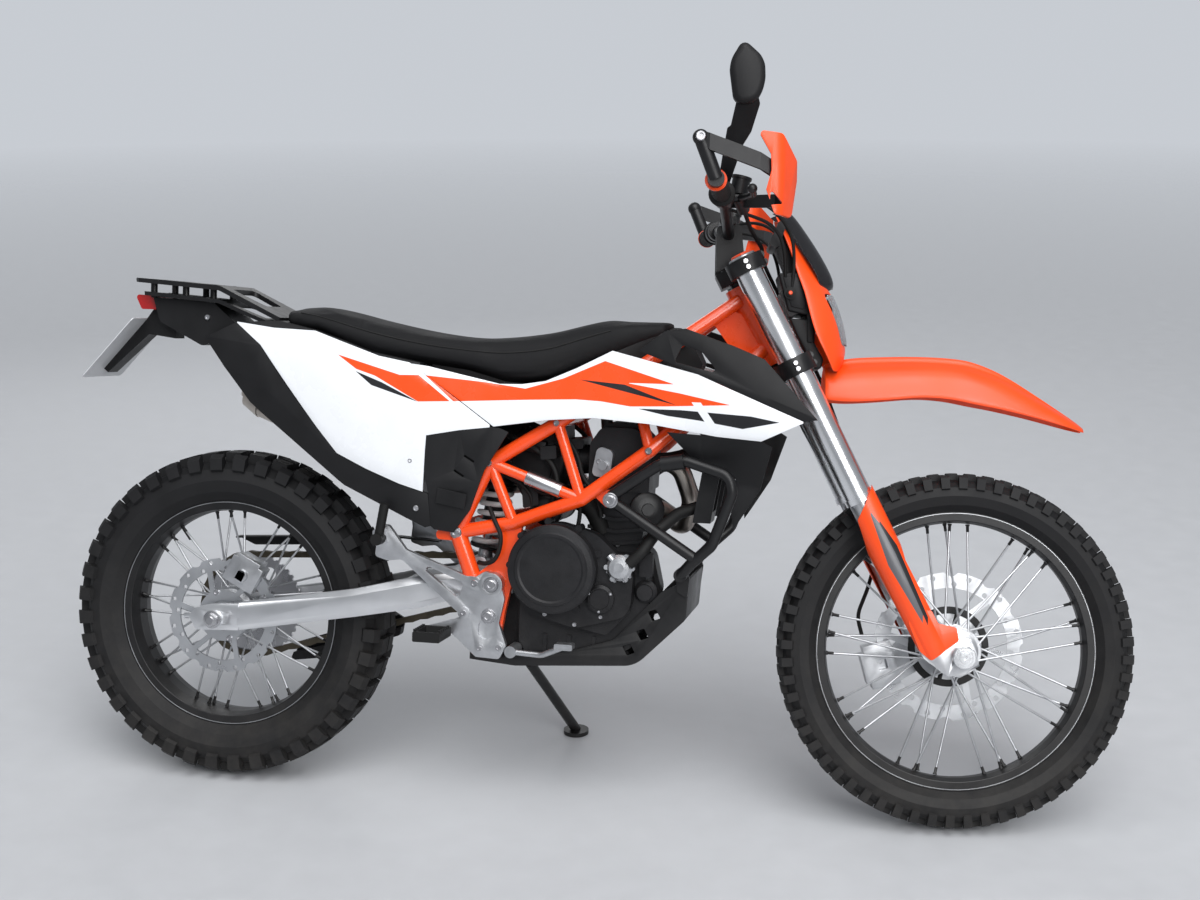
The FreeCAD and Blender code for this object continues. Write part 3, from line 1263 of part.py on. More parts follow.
def hood(stations, wall):
    """The outer and inner forms of a fender: x, top, edge and half width at each station."""
    def body(inset, drop, reach):
        sections = []
        for i, (x, top, edge, half) in enumerate(stations):
            end = -reach if i == 0 else (reach if i == len(stations) - 1 else 0)
            w = half - inset
            t = top - inset
            e = edge - drop
            rise = top - edge
            side = [(w, e), (w * 0.94, t - rise * 0.42), (w * 0.72, t - rise * 0.12),
                    (w * 0.44, t - rise * 0.2), (w * 0.3, t)]
            left = [near_head(x + end, z, y) for y, z in side]
            right = [near_head(x + end, z, -y) for y, z in reversed(side)]
            sections.append(left + right)
        return loft(sections)
    return body(0, 0, 0), body(wall, 12, 1)


def fender_forms():
    return hood(FENDER, 4.0)


def front_fender():
    outer, inner = fender_forms()
    lug = head_slab([(60, 20), (60, -4), (160, -4), (160, 60), (84, 60)], -30, 30).common(inner)
    return join([outer.cut(inner), lug])


MASK = [
    (5, 96, 110, 78), (34, 82, 122, 88), (84, 55, 126, 95), (145, 38, 115, 80),
    (218, 17, 88, 60), (305, -22, 1, 40),
]


def mask_forms():
    def body(inset, reach):
        sections = []
        for i, (z, back, front, half) in enumerate(MASK):
            up = -reach if i == 0 else (reach if i == len(MASK) - 1 else 0)
            x0 = back - (20 if inset else 0)
            x1 = front - inset
            x_mid = x0 + (x1 - x0) * 0.72
            w = half - inset
            level = z + up
            sections.append([
                near_head(x0, level, -w), near_head(x_mid, level, -w * 0.88), near_head(x1, level, -w * 0.5),
                near_head(x1 + 6, level, 0), near_head(x1, level, w * 0.5), near_head(x_mid, level, w * 0.88),
                near_head(x0, level, w),
            ])
        return loft(sections)
    return body(0, 0), body(4.0, 2)


def headlight():
    return head_slab([(60, 62, 8), (134, 62, 14), (124, 158, 14), (60, 158, 8)], -54, 54)


def headlight_mask():
    outer, inner = mask_forms()
    return outer.cut(inner).cut(headlight())


def windshield():
    """A shallow smoked screen, bent back at both sides, ahead of the mask."""
    sections = []
    for x, z, half in ((2, 311, 44), (96, 202, 54)):
        sections.append([near_head(x - 26, z, -half), near_head(x, z, -half * 0.55),
                         near_head(x, z, half * 0.55), near_head(x - 26, z, half),
                         near_head(x - 31, z, half), near_head(x - 5, z, half * 0.52),
                         near_head(x - 5, z, -half * 0.52), near_head(x - 31, z, -half)])
    return loft(sections)


def instruments():
    """The dash and the bracket that carries dash, lamp and mask."""
    dash = head_slab([(-40, 250, 8), (-20, 300, 8), (-4, 296, 6), (-20, 244, 8)], -62, 62)
    mount = head_slab([(20, 10), (60, 60), (60, 160), (-10, 296), (-30, 260), (36, 120)], -30, 30)
    box = head_slab([(8, 110, 4), (40, 128, 4), (22, 176, 4), (-14, 160, 4)], -52, 52)
    return join([dash, mount, box])


def bar_stops(side):
    return [
        near_head(-118, 268, 0), near_head(-118, 268, side * 60), near_head(-134, 312, side * 230),
        near_head(-154, 318, side * BAR_END),
    ]


def bar_core():
    return rod(bar_stops(1)[2], bar_stops(1)[3], BAR_R)


def handlebar():
    halves = [pipe(bar_stops(side), BAR_R, 60) for side in (-1, 1)]
    risers = []
    for side in (-1, 1):
        y = side * 40
        risers.append(head_slab([(-140, 196), (-84, 212), (-94, 290, 8), (-142, 284, 8)], y - 14,
                                y + 14).cut(clamps()))
    pad = head_slab([(-136, 284, 8), (-100, 290, 8), (-104, 304, 6), (-138, 300, 6)], -66, 66)
    return join(halves + risers + [pad])


def grips():
    """Ribbed grips with a flange at the inner end."""
    inner = bar_stops(1)[2]
    outer = bar_stops(1)[3]
    run = (outer - inner).normalize()
    parts = [rod(outer - run * 128, outer - run * 4, GRIP_R),
             rod(outer - run * 130, outer - run * 125, GRIP_R + 6),
             rod(outer - run * 9, outer - run * 4, GRIP_R + 2)]
    return pair(join(parts).cut(bar_core()))


def bar_controls():
    """On each side a master cylinder with its reservoir, its lever, and the switch box inboard of the grip."""
    inner = bar_stops(1)[2]
    outer = bar_stops(1)[3]
    run = (outer - inner).normalize()
    perch = outer - run * 168
    cylinder_end = near_head(-96, 296, 205)
    clamp = rod(perch - run * 14, perch + run * 8, BAR_R + 9)
    body = rod(perch + Vector(26, 0, 2), cylinder_end, 12)
    neck = rod(perch, perch + Vector(30, 0, 2), 9)
    jar = rod(perch + Vector(28, -6, 8), perch + Vector(32, -6, 36), 17)
    lid = rod(perch + Vector(32, -6, 36), perch + Vector(33, -6, 41), 19)
    lever = pipe([perch + Vector(30, 4, 0), perch + Vector(44, 40, -2), perch + Vector(52, 90, -6),
                  perch + Vector(46, 168, -8)], 6, 60)
    tip = Part.makeSphere(9, perch + Vector(46, 168, -8))
    box = rod(outer - run * 158, outer - run * 132, BAR_R + 11)
    left = join([clamp, body, neck, jar, lid, lever, tip, box]).cut(bar_core())
    return pair(left)


def hand_guards():
    """The alloy blade of each guard, from the bar's end round the front and back to the bar."""
    end = bar_stops(1)[3]
    bolt = end + Vector(-30, 22, 70)
    stub = rod(end + Vector(0, 1, 0), end + Vector(0, 18, 0), 15)
    rise = rod(end + Vector(0, 12, 0), bolt, 13)
    knuckle = Part.makeSphere(14.5, bolt)
    blade = strap([
        (bolt + Vector(-4, 2, 2), 22), (bolt + Vector(16, 6, -8), 29), (end + Vector(76, 22, 32), 29),
        (end + Vector(112, 12, 12), 27),
        (end + Vector(130, -18, 2), 25), (end + Vector(136, -108, -8), 24),
        (end + Vector(116, -158, -10), 24),
        (end + Vector(24, -194, -10), 22),
    ], 9)
    return pair(join([stub, rise, knuckle, blade]).cut(bar_core()))


def hand_shields():
    """The plastic shield over the front of each guard, vented at its lower corner."""
    outline = [(-85, 403, 6), (-40, 399, 10), (-11, 359, 10), (-10, 324), (-18, 256, 10), (-50, 257, 8),
               (-66, 300), (-58, 334), (-60, 362)]
    side = head_slab(outline, 240, 440)
    plan_out = plan([(HEAD_X + x, y, r) for x, y, r in (
        (-100, 441, 0), (-40, 436, 30), (-4, 376, 40), (1, 240, 0), (-6, 240, 0), (-12, 372, 36),
        (-46, 429, 26), (-100, 434, 0),
    )], HEAD_Z + 200, HEAD_Z + 450)
    vent = head_slab([(-58, 300, 3), (-34, 276, 3), (-60, 272, 3)], 380, 460)
    return pair(side.common(plan_out).cut(vent)).cut(hand_guards())


def mirror():
    """The right mirror: a shallow kite-shaped head on a flat stalk."""
    def face(y, grow):
        outline = [(-114, 573), (-75, 538), (-71, 495), (-86, 459), (-129, 469), (-137, 535)]
        middle = (-102, 512)
        return [near_head(middle[0] + (x - middle[0]) * grow, middle[1] + (z - middle[1]) * grow, y) for x,
                z in outline]
    head = loft([face(-392, 0.7), face(-386, 0.96), face(-374, 1.0)])
    stalk = strap_between([(near_head(-136, 322, -238), 26), (near_head(-124, 400, -285), 30),
                           (near_head(-104, 470, -374), 20)], 9)
    foot = rod(near_head(-136, 305, -236), near_head(-136, 336, -240), 12)
    return join([head, stalk, foot])


def strap_between(stops, thickness):
    """A flat bar that climbs along its stops, each a place and the bar's fore-and-aft width there."""
    sections = []
    for place, width in stops:
        ahead = Vector(width / 2, 0, 0)
        up = Vector(0, thickness * 0.6, thickness * 0.6)
        sections.append([place - ahead - up, place + ahead - up, place + ahead + up, place - ahead + up])
    return loft(sections)


def front_caliper():
    """The front caliper, behind the left leg, bridging the disc's edge."""
    block = caliper(112, 58, 88, FRONT_DISC_Y, 1, 155, [-20, 20])
    block.rotate(ORIGIN, Y_AXIS, 163)
    centre = along(-FORK_DROP, CLAMP_OFFSET + AXLE_LEAD)
    return about_axle(block, centre.x, centre.z)


def brake_hose():
    """The front brake hose, from the right lever's cylinder down to the caliper on the left leg."""
    stops = [
        near_head(-96, 296, -205), near_head(-78, 272, -120), near_head(-52, 245, -50),
        near_head(-46, 227, 15),
        near_head(-32, 207, 62), along(60, 72, 78), along(-60, 72, 84), along(-160, 62, 92),
        along(-300, 62, 104),
        along(-370, 56, 122), along(-425, 22, 146), along(-475, -26, 130), along(-510, -70, 100),
        along(-548, -80, 76),
    ]
    return pipe(stops, HOSE_R, 70)


# The whole machine, by body

def chassis():
    side = trellis_side()
    left_side = join([side, stand_lug()])
    right_side = mirrored(side)
    head, crosses = head_frame(side)
    head = Part.makeCompound([largest(head.cut(left_side))] + [largest(bar.cut(left_side)) for bar in crosses])
    frame = [left_side, right_side, head]

    def clear(shape, *others):
        for other in others:
            shape = shape.cut(other)
        return shape

    arm = swingarm()
    block = engine_block().cut(arm)
    covers = clear(engine_covers(), *frame)
    barrel = cylinder().cut(block)
    body = bodywork()
    rear_housing = tail().cut(body["fuel_tank"])
    brackets = clear(peg_brackets(), left_side, right_side)
    stack = pair(largest(clear(radiators(), *frame)))
    belly = clear(skid_plate(), *frame)
    castings = pair(largest(brackets))
    made = {
        "head_frame": head,
        "trellis_left": left_side,
        "trellis_right": right_side,
        "engine_block": clear(block, *frame),
        "engine_covers": covers,
        "engine_fittings": clear(engine_fittings(), covers, barrel),
        "cylinder": barrel,
        "electrics": largest(clear(electrics(), barrel, *frame)),
        "coolant_hoses": clear(coolant_hoses(), covers, barrel, engine_fittings(), stack),
        "swingarm": clear(arm, *frame),
        "shock_absorber": clear(shock(), arm, *frame),
        "drive_chain": Part.makeCompound([chain(), front_sprocket()]),
        "chain_guard": clear(chain_guard(), arm),
        "airbox": clear(airbox(), body["seat"], barrel, *frame),
        "radiators": stack,
        "skid_plate": belly,
        "crash_bars": pair(clear(crash_bars(), *frame)),
        "exhaust": clear(exhaust(), barrel, body["fuel_tank"], body["side_panels"], *frame),
        "luggage_rack": clear(luggage_rack(), body["fuel_tank"], body["seat"]),
        "tail_housing": rear_housing,
        "licence_plate": licence_plate().cut(rear_housing),
        "tail_light": tail_light().cut(rear_housing),
        "peg_brackets": castings,
        "pegs": pegs().cut(castings),
        "foot_levers": clear(foot_levers(), covers, belly, *frame),
        "rear_caliper": rear_caliper().cut(arm),
    }
    made.update(body)
    return made


def steering():
    clamp = clamps()
    bars = handlebar().cut(clamp)
    controls = bar_controls()
    lowers = fork_lowers()
    fender_top = fender_forms()[0]
    mask = headlight_mask().cut(fender_top)
    dash = instruments().cut(clamp).cut(headlight()).cut(mask).cut(bars)
    caliper_body = front_caliper().Solids[0].cut(lowers)
    return {
        "triple_clamps": clamp,
        "fork_tubes": fork_tubes(),
        "fork_lowers": lowers,
        "fork_guards": pair(fork_guards().cut(lowers)),
        "front_fender": front_fender().cut(clamp),
        "headlight_mask": mask,
        "headlight": headlight(),
        "windshield": windshield().cut(mask_forms()[0]).cut(dash),
        "instruments": dash,
        "handlebar": bars,
        "grips": grips(),
        "bar_controls": controls.cut(bars),
        "hand_guards": hand_guards().cut(bars).cut(controls),
        "hand_shields": hand_shields(),
        "mirror": mirror().cut(bars).cut(controls),
        "front_caliper": caliper_body,
        "brake_hose": brake_hose().cut(controls).cut(caliper_body),
    }


def build():
    bodies = {}
    shapes = {}

    def add(body, made):
        for name, shape in made.items():
            shapes[name] = without_crumbs(shape)
            bodies[name] = body

    wheel_set = wheels()
    add("front_wheel", {n: s for n, s in wheel_set.items() if n.startswith("front")})
    add("rear_wheel", {n: s for n, s in wheel_set.items() if n.startswith("rear")})
    add("chassis", chassis())
    add("steering", steering())
    add("side_stand", {"side_stand": side_stand()})
    return shapes, bodies


def steer_placement():
    turn = Rotation(STEER_AXIS, STEER_ANGLE)
    centre = Vector(HEAD_X, 0, HEAD_Z)
    return Placement(centre - turn.multVec(centre), turn)


def lowest(places, turn):
    return min(turn.multVec(p).z for p in places)


def resting_turn(front, rear, stand):
    """The lean and pitch that put both tyres and the stand's foot at one level."""
    lean = PARK_LEAN
    pitch = 0.0
    base = math.hypot(FRONT_R, HEAD_X)
    for _ in range(14):
        turn = Rotation(Vector(1, 0, 0), -lean).multiply(Rotation(Y_AXIS, pitch))
        low_rear = lowest(rear, turn)
        pitch += math.degrees((lowest(front, turn) - low_rear) / (1.26 * base))
        turn = Rotation(Vector(1, 0, 0), -lean).multiply(Rotation(Y_AXIS, pitch))
        lean += math.degrees((lowest(stand, turn) - lowest(rear, turn)) / FOOT_Y)
    return Rotation(Vector(1, 0, 0), -lean).multiply(Rotation(Y_AXIS, pitch)), lean, pitch


def main():
    os.makedirs("parts", exist_ok=True)
    shapes, bodies = build()
    turned = steer_placement()
    for name, shape in shapes.items():
        if bodies[name] in ("steering", "front_wheel"):
            shape.Placement = turned.multiply(shape.Placement)
    clouds = [shapes[name].tessellate(0.5)[0] for name in ("front_tyre", "rear_tyre", "side_stand")]
    turn, lean, pitch = resting_turn(*clouds)
    floor = lowest(clouds[1], turn)
    rest = Placement(Vector(0, 0, -floor), turn)
    for shape in shapes.values():
        shape.Placement = rest.multiply(shape.Placement)
    boxes = [shape.optimalBoundingBox() for shape in shapes.values()]
    mid_x = (min(b.XMin for b in boxes) + max(b.XMax for b in boxes)) / 2
    mid_y = (min(b.YMin for b in boxes) + max(b.YMax for b in boxes)) / 2
    centre = Placement(Vector(-mid_x, -mid_y, 0), Rotation())
    for name, shape in shapes.items():
        shape.Placement = centre.multiply(shape.Placement)
        shape.exportStep("parts/" + name + ".step")
    whole = centre.multiply(rest)

    def show(label, place):
        print(label, [round(v, 4) for v in place])

    front = turned.multVec(along(-FORK_DROP, CLAMP_OFFSET + AXLE_LEAD))
    show("front axle at", whole.multVec(front))
    show("front axle along", whole.Rotation.multVec(turned.Rotation.multVec(Y_AXIS)))
    show("rear axle at", whole.multVec(Vector(REAR_X, 0, REAR_Z)))
    show("rear axle along", whole.Rotation.multVec(Y_AXIS))
    show("steering at", whole.multVec(Vector(HEAD_X, 0, HEAD_Z)))
    show("steering along", whole.Rotation.multVec(STEER_AXIS))
    show("stand at", whole.multVec(point(STAND_X, STAND_Z, STAND_Y)))
    show("stand along", whole.Rotation.multVec(STAND_AXIS))
    show("rack holes at", whole.multVec(rack_frame()[0]))
    show("rack holes along", whole.Rotation.multVec(rack_frame()[2]))
    show("rack holes size", (RACK_HOLES * math.sqrt(2), RACK_HOLE_R))
    show("upright datum at", whole.Base)
    print("lean", round(lean, 3), "pitch", round(pitch, 3), "nodes", len(shapes))
    volume = sum(shape.Volume for shape in shapes.values())
    print("solid litres", round(volume / 1e6, 2))


main()
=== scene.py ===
import json
import math
import bmesh
import bpy
from mathutils import Matrix, Vector
from mathutils.bvhtree import BVHTree


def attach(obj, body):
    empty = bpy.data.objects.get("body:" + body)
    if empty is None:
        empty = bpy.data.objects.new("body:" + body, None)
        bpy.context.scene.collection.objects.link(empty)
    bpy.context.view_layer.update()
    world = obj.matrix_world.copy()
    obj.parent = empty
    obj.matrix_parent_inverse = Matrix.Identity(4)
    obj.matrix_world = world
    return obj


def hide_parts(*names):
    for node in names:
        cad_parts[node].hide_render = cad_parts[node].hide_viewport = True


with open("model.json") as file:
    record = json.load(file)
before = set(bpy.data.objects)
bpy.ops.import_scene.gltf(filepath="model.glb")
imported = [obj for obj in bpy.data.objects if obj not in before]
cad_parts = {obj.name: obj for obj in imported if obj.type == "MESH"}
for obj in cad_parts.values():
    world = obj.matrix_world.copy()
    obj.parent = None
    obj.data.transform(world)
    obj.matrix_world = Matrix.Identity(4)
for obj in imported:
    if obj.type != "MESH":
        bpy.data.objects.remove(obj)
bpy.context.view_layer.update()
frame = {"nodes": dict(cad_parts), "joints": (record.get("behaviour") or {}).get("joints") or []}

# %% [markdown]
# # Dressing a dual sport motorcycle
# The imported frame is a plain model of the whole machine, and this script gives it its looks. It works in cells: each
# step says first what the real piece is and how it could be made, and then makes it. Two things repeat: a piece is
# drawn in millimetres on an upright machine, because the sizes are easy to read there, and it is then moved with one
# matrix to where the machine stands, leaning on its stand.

REAR_AXLE = Vector((0.05, 0, 340.97))
HEAD = Vector((1140, 0, 885))
RAKE = math.radians(28.2)
STEER = math.radians(9.1)
hinges = {joint["name"]: joint for joint in frame["joints"]}

# %% [markdown]
# ## Where the machine stands
# The rear axle and the steering axis are known from the frame's joints, and two directions and one place are all that
# is needed to find the upright machine again. The steering group has a second matrix, with the bars turned to where
# they rest.

# %% The two matrices
across = Vector(hinges["rear_wheel_spin"]["axis"]).normalized()
head_axis = Vector(hinges["steering_head"]["axis"]).normalized()
ahead = across.cross(head_axis).normalized()
forward = ahead * math.cos(RAKE) - head_axis * math.sin(RAKE)
upward = ahead * math.sin(RAKE) + head_axis * math.cos(RAKE)
base = Vector(hinges["rear_wheel_spin"]["pos_m"]) - (forward * REAR_AXLE.x + upward * REAR_AXLE.z) * 0.001
turned = Matrix((forward, across, upward)).transposed().to_4x4()
UPRIGHT = Matrix.Translation(base) @ turned @ Matrix.Scale(0.001, 4)
STEER_AXIS = Vector((-math.sin(RAKE), 0, math.cos(RAKE)))
STEERED = UPRIGHT @ Matrix.Translation(HEAD) @ Matrix.Rotation(STEER, 4, STEER_AXIS) @ Matrix.Translation(-HEAD)
print("machine stands at", [round(v, 4) for v in base])

# %% [markdown]
# ## The camera
# The photograph was taken from the machine's right, a little above the seat and a little ahead of the middle. The
# camera's place and lens were worked out from the two wheels, whose sizes are known. They were found on the machine
# as it leans, so they are turned back upright first.

# %% Camera
PHOTO_LEAN = math.radians(10.27)
CAMERA_AT = Vector((1417.4, -3247.1, 1567.2))
CAMERA_YAW = math.radians(-10.756)
CAMERA_PITCH = math.radians(14.071)
CAMERA_ROLL = math.radians(-0.066)
PHOTO_WIDTH, FOCAL_PIXELS, SENSOR = 1200, 1734.93, 36
LENS = FOCAL_PIXELS / PHOTO_WIDTH * SENSOR
level = math.cos(CAMERA_PITCH)
sight = Vector((math.sin(CAMERA_YAW) * level, math.cos(CAMERA_YAW) * level, -math.sin(CAMERA_PITCH)))
right_hand = sight.cross(Vector((0, 0, 1))).normalized()
overhead = right_hand.cross(sight)
look = Matrix((right_hand, overhead, -sight)).transposed().to_4x4() @ Matrix.Rotation(CAMERA_ROLL, 4, "Z")
stand = UPRIGHT @ Matrix.Rotation(PHOTO_LEAN, 4, "X") @ Matrix.Translation(CAMERA_AT) @ look
camera = bpy.data.objects.new("camera", bpy.data.cameras.new("camera"))
bpy.context.scene.collection.objects.link(camera)
camera.matrix_world = Matrix.Translation(stand.translation) @ stand.to_quaternion().to_matrix().to_4x4()
camera.data.lens = LENS
camera.data.sensor_width = SENSOR
camera.data.clip_end = 100
bpy.context.scene.camera = camera
print("camera at", [round(v, 3) for v in camera.matrix_world.translation], "lens", round(LENS, 2))

# %% [markdown]
# ## Selecting and editing
# An operator works on all that is selected, so each step first clears the selection and picks its one object.

# %% Selecting
def deselect():
    bpy.ops.object.select_all(action="DESELECT")


def pick(obj):
    deselect()
    bpy.context.view_layer.objects.active = obj
    obj.select_set(True)


def edit(obj, kind="VERT"):
    pick(obj)
    bpy.ops.object.mode_set(mode="EDIT")
    bpy.ops.mesh.select_mode(type=kind)


def leave():
    bpy.ops.object.mode_set(mode="OBJECT")


def choose(obj, test, kind="FACE"):
    """In edit mode, selects the faces or edges whose middle passes a test."""
    bpy.ops.mesh.select_all(action="DESELECT")
    bpy.ops.mesh.select_mode(type=kind)
    shape = bmesh.from_edit_mesh(obj.data)
    for part in (shape.faces if kind == "FACE" else shape.edges):
        middle = sum((v.co for v in part.verts), Vector()) / len(part.verts)
        if kind == "FACE":
            part.select_set(test(middle, part.normal))
        else:
            part.select_set(test(middle, part))
    bmesh.update_edit_mesh(obj.data)


# %% [markdown]
# ## Drawing a line and sweeping it
# Bodywork is drawn as a modeller does it by hand: one corner is placed, pulled along to make a section line, and the
# line is then pulled from station to station. Each pull is an extrude, and the new line is set to the shape that the
# surface has there. Subdivision then rounds it, and Solidify gives it a wall.

# %% Drawing and sweeping
def draw(name, places, closed):
    """One line of places, pulled out corner by corner; a closed line is filled."""
    deselect()
    bpy.ops.mesh.primitive_plane_add(size=1, location=places[0])
    obj = bpy.context.object
    obj.name = name
    bpy.ops.object.transform_apply(location=True, rotation=True, scale=True)
    edit(obj)
    bpy.ops.mesh.select_all(action="SELECT")
    bpy.ops.mesh.merge(type="CENTER")
    for before, here in zip(places, places[1:]):
        step = Vector(here) - Vector(before)
        bpy.ops.mesh.extrude_region_move(TRANSFORM_OT_translate={"value": step})
    bpy.ops.mesh.select_all(action="SELECT")
    if closed:
        bpy.ops.mesh.edge_face_add()
    return obj


def sweep(name, sections, closed=False):
    """A surface through section lines that all have the same number of places."""
    obj = draw(name, sections[0], closed)
    for before, here in zip(sections, sections[1:]):
        bpy.ops.mesh.extrude_region_move(TRANSFORM_OT_translate={"value": (0, 0, 0)})
        was = [Vector(place) for place in before]
        shape = bmesh.from_edit_mesh(obj.data)
        for vertex in [v for v in shape.verts if v.select]:
            nearest = min(range(len(was)), key=lambda i: (vertex.co - was[i]).length_squared)
            vertex.co = here[nearest]
        bmesh.update_edit_mesh(obj.data)
    bpy.ops.mesh.select_all(action="SELECT")
    bpy.ops.mesh.normals_make_consistent(inside=False)
    leave()
    return obj


def slab(name, outline, y0, y1, bevel=0.0, steps=2):
    """A side-view outline of (x, z), pulled across from y0 to y1, with its edges eased."""
    obj = draw(name, [(x, y0, z) for x, z in outline], True)
    bpy.ops.mesh.extrude_region_move(TRANSFORM_OT_translate={"value": (0, y1 - y0, 0)})
    bpy.ops.mesh.select_all(action="SELECT")
    bpy.ops.mesh.normals_make_consistent(inside=False)
    leave()
    if bevel:
        ease(obj, bevel, steps)
    return obj


# %% [markdown]
# ## Modifiers
# Four modifiers finish most pieces: Bevel eases the edges, Subdivision Surface rounds a form, Mirror makes the other
# side, and Solidify gives a wall. Each is applied at once, so a finished piece is a plain mesh.

# %% Modifiers
def ease(obj, width, steps=2, angle=30):
    made = obj.modifiers.new("ease", "BEVEL")
    made.width = width
    made.segments = steps
    made.limit_method = "ANGLE"
    made.angle_limit = math.radians(angle)
    apply_all(obj)


def round_off(obj, levels=2):
    made = obj.modifiers.new("round", "SUBSURF")
    made.levels = levels
    made.render_levels = levels
    apply_all(obj)


def mirror(obj):
    """The same shape on the other side of the machine's middle."""
    made = obj.modifiers.new("mirror", "MIRROR")
    made.use_axis = (False, True, False)
    made.use_clip = True
    made.merge_threshold = 0.01
    apply_all(obj)


def thicken(obj, thickness):
    """Gives a sheet its wall, behind the side that its faces look to."""
    made = obj.modifiers.new("wall", "SOLIDIFY")
    made.thickness = thickness
    made.offset = -1
    apply_all(obj)


def apply_all(obj):
    pick(obj)
    for modifier in list(obj.modifiers):
        bpy.ops.object.modifier_apply(modifier=modifier.name)


def put_together(name, parts):
    deselect()
    for part in parts:
        part.select_set(True)
    bpy.context.view_layer.objects.active = parts[0]
    if len(parts) > 1:
        bpy.ops.object.join()
    parts[0].name = name
    return parts[0]


def pattern(obj):
    """Keeps a piece's mesh for copying, and takes the piece itself away."""
    mesh = obj.data
    bpy.data.objects.remove(obj)
    return mesh


def copy_of(mesh, at, direction):
    """A copy of a pattern, with its own mesh, stood at a place."""
    obj = bpy.data.objects.new("copy", mesh.copy())
    bpy.context.scene.collection.objects.link(obj)
    obj.data.transform(Matrix.Translation(at) @ aim(direction))
    return obj


# %% [markdown]
# ## Turned parts, rods and hoses
# A turned part starts as half of its section, spun about its axis. A bar or a hose is a curve with a round section,
# turned into a mesh.

# %% Turned parts and rods
def aim(direction):
    """The turn that takes +Z to a direction."""
    return Vector((0, 0, 1)).rotation_difference(Vector(direction)).to_matrix().to_4x4()


def turn_part(name, profile, at, direction, steps=32):
    """A lathe: (radius, height) corners spun about an axis that stands at a place."""
    obj = draw(name, [(radius, 0, height) for radius, height in profile], False)
    bpy.ops.mesh.spin(steps=steps, angle=math.tau, center=(0, 0, 0), axis=(0, 0, 1))
    bpy.ops.mesh.select_all(action="SELECT")
    bpy.ops.mesh.remove_doubles(threshold=0.01)
    bpy.ops.mesh.normals_make_consistent(inside=False)
    leave()
    obj.data.transform(Matrix.Translation(at) @ aim(direction))
    return obj


def rod(name, start, end, radius, sides=20, ends=0.6):
    """A round bar with eased ends."""
    start, end = Vector(start), Vector(end)
    deselect()
    bpy.ops.mesh.primitive_cylinder_add(vertices=sides, radius=radius, depth=(end - start).length)
    obj = bpy.context.object
    obj.name = name
    obj.data.transform(Matrix.Translation((start + end) / 2) @ aim(end - start))
    if ends:
        ease(obj, ends, 2, 50)
    return obj


def tube(name, places, radius, smooth=True, sides=4):
    """A round section along a line, smooth through its places or straight between them."""
    line = bpy.data.curves.new(name, "CURVE")
    line.dimensions = "3D"
    line.bevel_depth = radius
    line.bevel_resolution = sides
    line.resolution_u = 8
    line.use_fill_caps = True
    spline = line.splines.new("NURBS" if smooth else "POLY")
    spline.points.add(len(places) - 1)
    for point, place in zip(spline.points, places):
        point.co = (*place, 1)
    if smooth:
        spline.order_u = 3
        spline.use_endpoint_u = True
    obj = bpy.data.objects.new(name, line)
    bpy.context.scene.collection.objects.link(obj)
    pick(obj)
    bpy.ops.object.convert(target="MESH")
    return bpy.context.object


# %% [markdown]
# ## Finishes
# A finish is a tree of nodes, never a picture. The effects that many finishes share are built once as groups: the
# fine grain of moulded plastic, the skin of a casting, the lines of brushed metal, and the dust that settles low on a
# machine. Each gives only masks and heights, and each finish mixes them with its own values.

# %% Node helpers
def start_group(name, inputs, outputs):
    tree = bpy.data.node_groups.new(name, "ShaderNodeTree")
    for label, value in inputs:
        made = tree.interface.new_socket(name=label, in_out="INPUT", socket_type="NodeSocketFloat")
        made.default_value = value
    for label in outputs:
        tree.interface.new_socket(name=label, in_out="OUTPUT", socket_type="NodeSocketFloat")
    return tree, tree.nodes.new("NodeGroupInput"), tree.nodes.new("NodeGroupOutput")


def on_object(tree):
    """The place on the object, from which each pattern is made."""
    return tree.nodes.new("ShaderNodeTexCoord").outputs["Object"]


def maths(tree, kind, first, second=None, third=None, clamp=False):
    node = tree.nodes.new("ShaderNodeMath")
    node.operation = kind
    node.use_clamp = clamp
    for socket, value in zip(node.inputs, (first, second, third)):
        if value is None:
            continue
        if isinstance(value, (int, float)):
            socket.default_value = value
        else:
            tree.links.new(value, socket)
    return node.outputs[0]


def remap(tree, value, low, high, to_low, to_high):
    node = tree.nodes.new("ShaderNodeMapRange")
    tree.links.new(value, node.inputs["Value"])
    for label, number in (("From Min", low), ("From Max", high), ("To Min", to_low), ("To Max", to_high)):
        node.inputs[label].default_value = number
    return node.outputs["Result"]


def noise(tree, vector, scale, detail=3.0, roughness=0.55):
    node = tree.nodes.new("ShaderNodeTexNoise")
    tree.links.new(vector, node.inputs["Vector"])
    if isinstance(scale, (int, float)):
        node.inputs["Scale"].default_value = scale
    else:
        tree.links.new(scale, node.inputs["Scale"])
    node.inputs["Detail"].default_value = detail
    node.inputs["Roughness"].default_value = roughness
    return node.outputs["Fac"]


def blend(tree, mask, first, second):
    node = tree.nodes.new("ShaderNodeMix")
    node.data_type = "RGBA"
    colours = [socket for socket in node.inputs if socket.type == "RGBA"]
    for socket, value in ((node.inputs["Factor"], mask), (colours[0], first), (colours[1], second)):
        if isinstance(value, (int, float)):
            socket.default_value = value
        elif isinstance(value, tuple):
            socket.default_value = (*value, 1)
        else:
            tree.links.new(value, socket)
    return [socket for socket in node.outputs if socket.type == "RGBA"][0]


# %% Shared effects
def make_grain():
    tree, enter, out = start_group("moulded_grain", [("Scale", 900.0)], ["Height", "Patches"])
    place = on_object(tree)
    tree.links.new(noise(tree, place, enter.outputs["Scale"], 2.0), out.inputs["Height"])
    tree.links.new(noise(tree, place, 14.0, 4.0), out.inputs["Patches"])
    return tree


